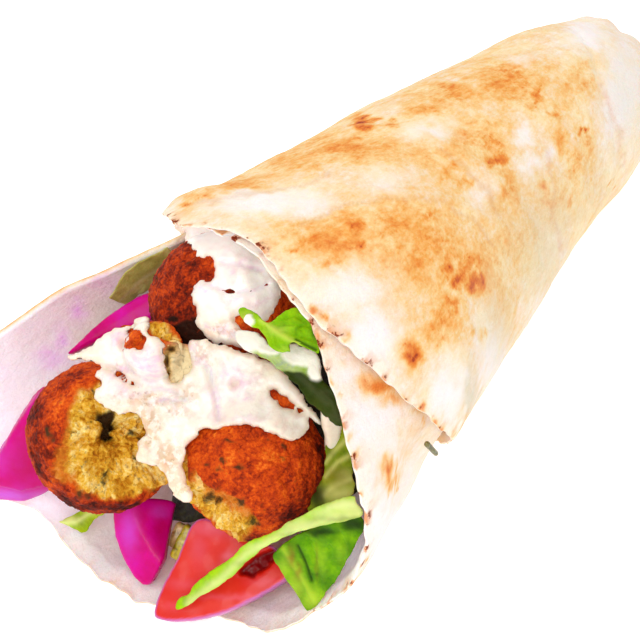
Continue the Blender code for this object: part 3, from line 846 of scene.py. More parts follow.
fried = {
    "crust": (0.03, 1 / 1.3, 0),  # as in the CAD, in radii
    "crumbs": (0.85, 0.35, 0.8, 1),  # mm across, then mm of warp, its size and its seed
    "chunks": (2.3, 0.9, 1.6, 2),
    "crustRelief": ((0.3, 3.5, 3), (0.3, 1.5, 6), (0.16, 0.7, 4)),
    "crustCrumbs": 0.14,
    "crustSteps": (0.3, 5, 7, 0.1, 0.5),  # mm high, mm across, seed, and where a step begins and ends
    "edgeOn": 0.05,  # a break faces at least this much
    "breakLumps": 1 / 3.8,  # in radii, as the next one
    "deepestBreak": 0.3,
    "middling": 0.6,  # the usual height of a crumb
    "insideSunk": 0.35,
    "wetSmooth": 0.8,
    "widerFrom": 0.3,
    "insideRelief": ((1.5, 4, 5), (1.3, 1.8, 8), (0.6, 0.8, 9)),
    "insideChunks": 0.8,
    "insideCrumbs": 0.35,
    "holeDepth": 3.4,
    "warp": (((5, 2.5, 11),), ((5, 2.5, 12),)),  # pixels
    "herbWarp": (3, 1.2, 13),
    "shown": (-0.1, 0.25),  # how far a surface turns to the camera before its patches show, and are full
    "broken": (0.25, 0.9),  # mm under the crust
    "softEdge": (-0.9, 0.9),  # mm within an outline
    "halfEdge": (-2, 1),
    "wetEdge": (-1, 1),
    "holeEdge": (0.3, 0.7),
    "finer": 10,  # balls with a larger radius get a finer sphere
}


def crumbly(points, kind, seed):
    size, warp, across, warpSeed = fried[kind]
    return grains(points + warp * lumps(points, across, warpSeed)[:, None], size, seed)


def falafelReach(ways, ball):
    # the CAD ball's surface: how far from the middle, and how deep under the crust that is
    radius = ball["radius"]
    crust = radius * (1 + relief(ways, fried["crust"]))
    reach = crust.copy()
    for facing, depth, rough in ball["breaks"]:
        toward = ways @ unit(np.array(facing))
        face = depth / np.maximum(toward, fried["edgeOn"])
        face += rough * lumps(ways, fried["breakLumps"], ball["seed"])
        face = radius * np.maximum(face, fried["deepestBreak"])
        reach = np.where(toward > fried["edgeOn"], np.minimum(reach, face), reach)
    return reach, crust - reach


def falafelBall(name, ball, material):
    shape = bmesh.new()
    bmesh.ops.create_icosphere(shape, subdivisions=7 if ball["radius"] > fried["finer"] else 6, radius=1)
    ways = unit(placesOf(shape))
    reach, under = falafelReach(ways, ball)
    spot, middle = ways * reach[:, None], np.array(ball["middle"])
    right, _, ahead = cameraAxes()
    pixels, perMm = seenAt(spot + middle)
    warped = pixels + np.stack([relief(spot, *layers) for layers in fried["warp"]], axis=1)
    shown = rise(*fried["shown"], -(ways @ ahead))

    def within(outline, edge):
        if not outline:
            return np.zeros(len(ways))
        return shown * rise(*fried[edge], insideBy(warped, outline) / perMm)

    inside = np.maximum(rise(*fried["broken"], under), within(ball["soft"], "softEdge"))
    half = within(ball["half"], "halfEdge")
    wet = within(crumbs["soft"] if name == "falafelCrumb" else (), "wetEdge")
    hole = shown * rise(*fried["holeEdge"], spots(warped, ball["holes"]))
    herb = shown * spots(pixels + relief(spot, fried["herbWarp"])[:, None], ball["herbs"])
    crumbNear, crumbOwn = crumbly(spot, "crumbs", ball["seed"])
    chunkNear, chunkOwn = crumbly(spot, "chunks", ball["seed"] + 1)
    high, across, seed, low, full = fried["crustSteps"]
    crustRelief = fried["crustCrumbs"] * crumbNear + relief(spot, *fried["crustRelief"])
    crustRelief += high * (rise(low, full, lumps(spot, across, seed)) - 0.5)
    insideRelief = fried["insideChunks"] * (chunkNear - fried["middling"])
    insideRelief += fried["insideCrumbs"] * (crumbNear - fried["middling"])
    insideRelief += relief(spot, *fried["insideRelief"]) - fried["insideSunk"]
    reach += ball.get("wider", 0) * np.maximum((ways @ right) ** 2 - fried["widerFrom"], 0)
    insideRelief = insideRelief * (1 - fried["wetSmooth"] * wet) - fried["holeDepth"] * hole
    reach += crustRelief * (1 - inside) + insideRelief * inside
    movePoints(shape, ways * reach[:, None] + middle)
    finishMesh(name, ball["node"], shape, "crust", material, {
        "inside": inside * (1 - 0.5 * half),
        # painted shade in the crevices between chunks and in the holes
        "cleft": np.maximum(0.62 * inside * (1 - chunkNear), hole),
        "crumb": np.where(inside > 0.5, 0.4 * chunkOwn + 0.6 * crumbOwn, crumbOwn),
        "herb": herb,
        "wet": wet,
        # darker crust, and painted shade at the rims
        "burnt": shown * spots(warped, ball["burnt"]),
    })


def falafelPaint():
    paint = Paint("fried chickpea", rough=0.8, shine=0.12, scatter=0.04, scatterDepth=0.002)
    inside, cleft, crumb, herb, wet, burnt = paint.masks("inside", "cleft", "crumb", "herb", "wet", "burnt")
    fine, speck, broad = paint.texture(0.55, 3, 0.6), paint.texture(0.9, 2, 0.5), paint.texture(5.0, 3, 0.5)
    # burnt patches darken both ramps: darker crust and painted shade
    crust = paint.ramp(
        (broad - 0.5) * 1.1 + crumb * 0.3 + fine * 0.9 - 0.04 - burnt * 0.55,
        (0.0, 60, 12, 4), (0.28, 128, 32, 6), (0.5, 184, 58, 8), (0.72, 216, 82, 12), (1.0, 244, 130, 36),
    )
    soft = paint.ramp(
        (broad - 0.5) * 1.3 + crumb * 0.55 + fine * 0.7 + speck * 0.6 - 0.38 - burnt * 0.3,
        (0.0, 140, 74, 6), (0.25, 190, 124, 16), (0.55, 228, 176, 54), (1.0, 252, 230, 150),
    )
    soft = paint.coats(soft, (paint.between(0.6, 0.68, speck) * 0.5, (132, 78, 16)))
    edge = paint.between(0.05, 0.5, inside) * (1 - paint.between(0.5, 0.95, inside))
    herbs = paint.between(0.66, 0.74, paint.texture(1.1, 2, 0.5))
    colour = paint.coats(
        paint.mix(paint.between(0.3, 0.75, inside + (speck - 0.5) * 0.5), crust, soft),
        (edge * 0.6, (206, 112, 26)),
        (wet * (0.65 + fine * 0.6), (232, 212, 166)),
        # painted shade in the crevices and holes
        (paint.between(0.55, 1.0, cleft) * 0.8, (60, 28, 10)),
        (paint.between(0.6, 1.0, cleft) * 0.9, (34, 14, 4)),
        (herbs * 0.5, (70, 40, 16)),
        (paint.between(0.2, 0.9, herb + (fine - 0.5) * 1.4) * 0.9, (48, 44, 20)),
    )
    paint.set("Base Color", colour)
    paint.set("Roughness", 0.62 + fine * 0.25 - wet * 0.4)
    paint.bump(fine * 0.8 + speck * 0.5, 0.35)
    return paint.material


# Sauce poured over the falafels: it is cut out in a frame that faces the camera, in mm.
sauce = {
    "soft": 2.2,  # how smoothly it runs from one falafel to the next
    "cell": 0.42,
    "edge": 1.7,  # how far in from its edge it is full
    "depth": 2.6,
    "deepen": 5,
    "sunk": 0.35,
    "under": 0.8,
    "ragged": ((0.4, 2.2, 61), (0.42, 1.1, 62)),
    "flow": ((0.9, 6, 63), (0.55, 2.6, 64, 1, 0.6, 1), (0.2, 1.2, 66)),
    "sparse": ((1.3, 1.7, 67), (0.5, 0.8, 68)),
    "warp": (6, 2.5, 65),  # pixels
    "groove": (0.85, 0.55),  # depth and width
    "grooveTint": (0.6, 0.5),  # strength and width
    "thinEdge": 1.2,
}
# light is painted light: how much each pool is lightened and glows
pools = {
    "sauceFront": {
        "node": "sauce_front", "middle": (-3.7, -32.7, 48), "half": (29, 24), "thick": 1.35, "light": 0.3,
        "over": ("falafelLeft", "falafelRight", "falafelCrumb"),
        "outline": (
            (68, 356), (75, 353), (85, 349), (97, 341), (101, 334), (112, 329), (120, 327), (128, 328),
            (135, 327), (134, 321), (140, 317), (150, 317), (150, 324), (147, 332), (153, 336), (162, 341),
            (168, 347), (176, 344), (187, 345), (190, 341), (198, 339), (208, 340), (216, 344), (234, 348),
            (250, 353), (262, 359), (273, 365), (285, 373), (294, 382), (300, 394), (306, 403), (313, 411),
            (320, 421), (321, 425), (314, 421), (307, 416), (310, 423), (308, 429), (304, 436), (297, 439),
            (289, 440), (282, 437), (275, 433), (267, 433), (261, 427), (255, 425), (243, 424), (232, 425),
            (221, 428), (208, 428), (200, 432), (196, 438), (188, 445), (183, 458), (183, 470), (187, 480),
            (191, 489), (191, 498), (185, 503), (178, 499), (171, 492), (166, 483), (163, 472), (156, 466),
            (147, 464), (140, 462), (137, 457), (138, 446), (140, 438), (146, 433), (143, 425), (138, 416),
            (131, 412), (124, 415), (118, 416), (116, 411), (109, 408), (100, 405), (97, 400), (93, 394),
            (100, 385), (99, 380), (95, 374), (102, 368), (101, 364), (94, 361), (83, 360), (75, 360),
            (69, 360),
        ),
        "bare": (
            (
                (128, 327), (133, 328), (139, 332), (145, 337), (146, 345), (142, 351), (133, 349),
                (123, 347), (124, 343), (130, 339), (129, 332),
            ),
            (
                (168, 342), (176, 338), (185, 342), (191, 354), (193, 364), (190, 372), (184, 375),
                (181, 381), (175, 384), (170, 380), (168, 372), (164, 364), (164, 355), (165, 348),
            ),
            (
                (270, 388), (274, 390), (281, 395), (288, 400), (293, 403), (299, 408), (307, 415),
                (300, 412), (291, 409), (284, 406), (277, 401), (271, 396),
            ),
            (
                (103, 368), (110, 368), (118, 371), (125, 378), (131, 382), (138, 384), (131, 385),
                (124, 382), (116, 374), (109, 370),
            ),
            ((231, 382), (235, 380), (238, 384), (234, 388)),
        ),
        # painted lilac shade in the folds of the sauce
        "tint": (
            (232, 382, 20, 16, 0.75), (216, 395, 5, 22, 0.8), (150, 365, 24, 16, 0.85),
            (122, 340, 14, 9, 0.8), (190, 348, 8, 10, 0.7), (200, 360, 8, 8, 0.6), (246, 396, 10, 5, 0.6),
            (118, 374, 18, 10, 0.8), (125, 392, 14, 8, 0.5), (242, 418, 16, 4, 0.5), (150, 352, 12, 10, 0.6),
            (180, 400, 14, 8, 0.3),
        ),
        "sparse": (
            (148, 428, 14, 24, 0.9), (140, 398, 22, 7, 0.9), (168, 462, 12, 22, 0.9),
            (186, 396, 12, 10, 0.6), (200, 352, 14, 14, 0.6), (172, 405, 16, 12, 0.5),
            (124, 372, 14, 6, 0.5), (182, 488, 8, 12, 0.9),
        ),
        "dull": (
            (275, 370, 18, 7, 0.9), (152, 440, 14, 10, 0.5), (130, 400, 16, 5, 0.6), (180, 490, 10, 14, 0.9),
            (145, 455, 10, 8, 0.6), (90, 352, 16, 5, 0.4), (185, 380, 12, 8, 0.4), (250, 352, 30, 4, 0.5),
        ),
        "grooves": (
            ((190, 345), (196, 358), (209, 368), (213, 385), (217, 402), (218, 418)),
            ((140, 392), (160, 389), (178, 392)), ((100, 366), (114, 368), (126, 378), (140, 386)),
            ((150, 402), (165, 398), (185, 400)),
        ),
    },
    "sauceBack": {
        "node": "sauce_back", "middle": (-3.6, -17.2, 62), "half": (18, 18), "thick": 1.5, "light": 1,
        "over": ("falafelBack",),
        "outline": (
            (182, 224), (186, 241), (192, 250), (198, 258), (204, 261), (209, 256), (213, 262), (216, 268),
            (214, 277), (208, 281), (199, 281), (194, 287), (191, 294), (192, 302), (198, 310), (198, 319),
            (193, 324), (200, 329), (206, 336), (216, 343), (234, 347), (250, 352), (262, 358), (270, 357),
            (268, 347), (262, 338), (256, 330), (262, 322), (270, 318), (276, 310), (279, 300), (281, 290),
            (281, 280), (276, 270), (266, 250), (240, 230), (210, 222),
        ),
        "bare": (((232, 318), (240, 317), (250, 320), (264, 328), (262, 335), (246, 330), (238, 326)),),
        # painted lilac shade in the folds of the sauce
        "tint": (
            (225, 260, 5, 8, 0.6), (244, 263, 9, 4, 0.9), (203, 290, 8, 4, 0.9), (237, 298, 16, 8, 0.55),
            (222, 330, 20, 5, 0.4), (262, 300, 14, 5, 0.5), (230, 270, 6, 4, 0.4), (248, 336, 16, 5, 0.6),
        ),
        "sparse": ((222, 330, 26, 8, 0.8), (250, 344, 16, 5, 0.6)),
        "dull": ((225, 240, 40, 9, 0.2), (215, 322, 24, 14, 0.6), (255, 345, 18, 8, 0.7)),
        "grooves": (
            ((200, 282), (225, 290), (250, 291), (268, 283)), ((205, 325), (230, 334), (258, 345)),
            ((222, 262), (240, 264), (262, 270)),
        ),
    },
}


def drape(pool):
    # the pool's own frame: how high the falafels and the sauce stand in it, and its way into the roll's
    turned = Matrix.Rotation(math.radians(view["turn"]), 3, "Z")
    turned = np.array(turned @ Matrix.Rotation(math.radians(view["tiltDown"]), 3, "X"))
    middle = np.array(pool["middle"])
    balls = [(*((np.array(falafels[ball]["middle"]) - middle) @ turned), falafels[ball]["radius"])
             for ball in pool["over"]]

    def tops(x, y):
        return [z + np.sqrt(np.maximum(radius**2 - (x - ballX) ** 2 - (y - ballY) ** 2, 0))
                for ballX, ballY, z, radius in balls]

    def draped(x, y):
        return sauce["soft"] * np.log(sum(np.exp(top / sauce["soft"]) for top in tops(x, y)))

    def placed(x, y, height):
        return np.stack((x, y, height), axis=1) @ turned.T + middle

    return tops, draped, placed


def saucePool(name, pool, material):
    tops, draped, placed = drape(pool)

    def depthIn(x, y):
        pixels, perMm = seenAt(placed(x, y, draped(x, y)))
        inside = insideBy(pixels, pool["outline"])
        for bare in pool["bare"]:
            inside = np.minimum(inside, -insideBy(pixels, bare))
        return inside / perMm + relief(flatAt(x, y), *sauce["ragged"])

    shape, x, y, second = cutSheet(*pool["half"], sauce["cell"], depthIn)
    inside, flat, height = np.maximum(depthIn(x, y), 0), flatAt(x, y), draped(x, y)
    lip = np.sqrt(1 - (1 - np.clip(inside / sauce["edge"], 0, 1)) ** 2)
    pixels, perMm = seenAt(placed(x, y, height + 1))
    flow, dip = relief(flat, *sauce["flow"]), np.zeros_like(x)
    deep, wide = sauce["groove"]
    strength, tintWide = sauce["grooveTint"]
    # the grooves dent the sauce and get painted shade along them
    for groove in pool["grooves"]:
        flow -= deep * alongLine(pixels, groove, wide * perMm)
        dip = np.maximum(dip, strength * alongLine(pixels, groove, tintWide * perMm))
    flow += spots(pixels, pool["sparse"]) * (relief(flat, *sauce["sparse"]) - 0.5)
    top = height - sauce["sunk"] + lip * (pool["thick"] + flow)
    below = height - sauce["depth"] * rise(0, sauce["deepen"], inside)
    below = np.maximum(below, np.maximum.reduce(tops(x, y))) - sauce["under"]
    points = placed(x, y, np.where(second, below, top))
    movePoints(shape, points)
    warped = seenAt(points)[0] + relief(points, sauce["warp"])[:, None]
    masks = {mask: spots(warped, pool[mask]) for mask in ("tint", "dull", "sparse")}
    masks["tint"] = np.maximum(masks["tint"], dip)
    masks["thin"] = 1 - np.clip(inside / sauce["thinEdge"], 0, 1)
    masks["light"] = np.full(len(points), pool["light"])
    finishMesh(name, pool["node"], shape, "sauce", material, masks)


def saucePaint():
    wet = {"rough": 0.3, "shine": 0.4, "coatRough": 0.12}
    paint = Paint("garlic sauce", **wet, scatter=0.25, scatterDepth=0.005, glow=0.16)
    tint, thin, dull, sparse, light = paint.masks("tint", "thin", "dull", "sparse", "light")
    coarse, fine, grain = paint.texture(5, 3), paint.texture(1.1, 3), paint.texture(1.5, 3, 0.6)
    streaks = paint.texture(2.4, 4, 0.65, (1.0, 0.6, 1.6))
    colour = paint.coats(
        paint.mix(paint.between(0.35, 0.7, coarse), shade(250, 240, 224), shade(243, 222, 202)),
        (paint.between(0.5, 0.72, streaks) * 0.6, (232, 196, 180)),
        # painted light: the pools are lightened, the back one most
        (light * 0.4, (250, 246, 252)),
        (sparse * paint.between(0.44, 0.56, grain) * 0.9, (208, 160, 106)),
        (sparse * paint.between(0.6, 0.68, fine) * 0.7, (150, 96, 50)),
        (dull * 0.6, (240, 220, 184)),
        # painted lilac shade in the folds and grooves
        (tint * (0.3 + paint.between(0.42, 0.68, streaks) * 0.7), (226, 180, 214)),
        (tint * paint.between(0.68, 0.78, fine) * 0.5, (160, 90, 120)),
        (thin * 0.45, (232, 196, 160)),
    )
    paint.set("Base Color", colour)
    # painted light: the sauce glows, the back pool most
    paint.set("Emission Color", paint.mix(light, shade(0, 0, 0), colour))
    paint.set("Roughness", 0.24 + coarse * 0.16)
    paint.set("Coat Weight", 0.2 + coarse * 0.35)
    paint.bump(coarse * 0.7 + streaks * 0.4 + fine * 0.2, 0.4)
    return paint.material


# Crumbs under the front sauce, between the falafels.
crumbs = {
    "half": (26, 18), "cell": 0.4, "under": 1.1, "depth": 4.6, "hollowDepth": 1.6, "warp": (0.5, 2, 1),
    "size": 1.6, "seed": 31, "relief": ((0.6, 2.5, 32), (0.25, 0.9, 33)), "bump": 0.5, "wetEdge": (-1, 1.5),
    "wetSmooth": 0.5, "wetHigh": 0.9, "cleft": 0.7,
    "outline": (
        (118, 324), (132, 324), (150, 334), (168, 341), (190, 344), (215, 350), (250, 361), (285, 383),
        (303, 406), (314, 418), (300, 430), (262, 420), (230, 415), (200, 425), (185, 445), (165, 440),
        (150, 400), (125, 398), (104, 388), (100, 372), (106, 360), (112, 345),
    ),
    "soft": (
        (168, 343), (176, 341), (188, 345), (194, 353), (199, 365), (194, 376), (186, 380), (182, 386),
        (174, 387), (167, 383), (164, 372), (160, 362), (160, 353),
    ),
    "hollow": ((170, 348, 7, 5, 1), (166, 360, 4, 13, 1), (168, 372, 3, 5, 1)),
}


def crumbLayer(material):
    _, draped, placed = drape(pools["sauceFront"])

    def seen(x, y):
        return seenAt(placed(x, y, draped(x, y)))

    def depthIn(x, y):
        pixels, perMm = seen(x, y)
        return insideBy(pixels, crumbs["outline"]) / perMm

    shape, x, y, second = cutSheet(*crumbs["half"], crumbs["cell"], depthIn)
    pixels, perMm = seen(x, y)
    flat, height = flatAt(x, y), draped(x, y)
    near, own = grains(flat + relief(flat, crumbs["warp"])[:, None], crumbs["size"], crumbs["seed"])
    wet = rise(*crumbs["wetEdge"], insideBy(pixels, crumbs["soft"]) / perMm)
    hollow = spots(pixels, crumbs["hollow"])
    bumps = (crumbs["bump"] * near + relief(flat, *crumbs["relief"])) * (1 - crumbs["wetSmooth"] * wet)
    top = height - crumbs["under"] + bumps + crumbs["wetHigh"] * wet - crumbs["hollowDepth"] * hollow
    movePoints(shape, placed(x, y, np.where(second, height - crumbs["depth"], top)))
    # painted shade in the crevices and the hollow
    cleft = np.maximum(crumbs["cleft"] * (1 - near), hollow)
    masks = {"inside": wet, "cleft": cleft, "crumb": own, "wet": wet * (1 - hollow)}
    finishMesh("falafelCrumbs", "falafel_crumb", shape, "crust", material, masks)


# Pieces of pickle and stalk; taper is how thick the far end is, soft the rounding of the edges in mm.
towardsCamera = (0.35, -0.54, 0.77)
sticks = {
    "pickleGreen": {
        "node": "pickle_green", "slot": "pickle", "middle": (-3.9, -40.6, 8.4), "size": (7.8, 4.4, 3.4),
        "along": (-0.12, -0.73, -0.65), "taper": 0.8, "soft": 0.9, "cells": 14,
    },
    "picklePale": {
        "node": "pickle_pale", "slot": "pickle", "look": "pickle, pale", "middle": (-7.2, -38.9, 7.2),
        "size": (5.6, 3.2, 3), "along": (0, -0.7, -0.6), "taper": 0.9, "soft": 0.9, "cells": 14,
    },
    "herbStem": {
        "node": "herb_stem", "slot": "mint", "look": "stalk", "middle": (39.4, -13.6, 38.5),
        "size": (5.6, 1.2, 1.2), "along": (0.25, 0.45, -0.84), "taper": 0.9, "soft": 0.6, "cells": 12,
    },
}
stickShape = {
    "bow": 0.06,
    # height in thicknesses, size in mm (or else half the thickness), seeds
    "bumps": ((0.05, None, (71, 72, 73)), (0.012, 1.1, (74, 75, 76))),
}


def basis(piece):
    # rows: along, across, and up, which is as near to the way it faces as it can be
    along = unit(np.array(piece["along"], float))
    side = unit(np.cross(piece.get("facing", towardsCamera), along))
    return np.array((along, side, np.cross(along, side)))


def cutStick(name, stick, material):
    shape = bmesh.new()
    bmesh.ops.create_cube(shape, size=1)
    bmesh.ops.subdivide_edges(shape, edges=shape.edges[:], cuts=stick["cells"], use_grid_fill=True)
    size, soft = np.array(stick["size"], float), stick["soft"]
    at = placesOf(shape) * size
    core = np.clip(at, -(size / 2 - soft), size / 2 - soft)
    at = core + soft * (at - core) / np.maximum(np.linalg.norm(at - core, axis=1, keepdims=True), 1e-6)
    share = np.clip(at[:, 0] / size[0] + 0.5, 0, 1)
    narrow = 1 + (stick["taper"] - 1) * share
    at[:, 1] *= narrow
    at[:, 2] = at[:, 2] * narrow + stickShape["bow"] * np.sin(np.pi * share) * size[2]
    for high, across, seeds in stickShape["bumps"]:
        sideways = [lumps(at, across or min(size) / 2, seed) for seed in seeds]
        at += high * min(size[1:]) * np.stack(sideways, axis=1)
    movePoints(shape, at @ basis(stick) + np.array(stick["middle"]))
    finishMesh(name, stick["node"], shape, stick["slot"], material)


def turnipPaint():
    paint = Paint("pickled turnip", rough=0.3, shine=0.1, coatRough=0.1, scatter=0.2, scatterDepth=0.004)
    broad, fine = paint.texture(6.5, 3, 0.5), paint.texture(1.2, 3, 0.6)
    colour = paint.ramp(
        (broad - 0.5) * 1.1 + (fine - 0.5) * 0.25 + 0.45,
        (0.0, 176, 0, 88), (0.35, 206, 0, 120), (0.65, 214, 2, 156), (1.0, 208, 30, 196),
    )
    # painted light and shade: pale lightens and dark deepens the facets by how they face the light
    pale, dark = paint.mask("pale"), paint.mask("dark")
    paint.set("Base Color", paint.coats(colour, (pale * 0.75, (200, 84, 226)), (dark * 0.7, (172, 0, 78))))
    paint.set("Roughness", 0.22 + fine * 0.2)
    paint.set("Coat Weight", broad * 0.2)
    paint.bump(fine * 0.4 + broad * 0.5, 0.2)
    return paint.material


def picklePaint(name, dark, light):
    paint = Paint(name, rough=0.3, shine=0.5, coatRough=0.1, scatter=0.2, scatterDepth=0.002)
    broad, fine = paint.texture(2.5, 3), paint.texture(0.7, 3)
    lighter = paint.between(0.35, 0.65, broad + (fine - 0.5) * 0.4)
    paint.set("Base Color", paint.mix(lighter, shade(*dark), shade(*light)))
    paint.set("Coat Weight", 0.3 + broad * 0.4)
    paint.bump(fine + broad, 0.3)
    return paint.material
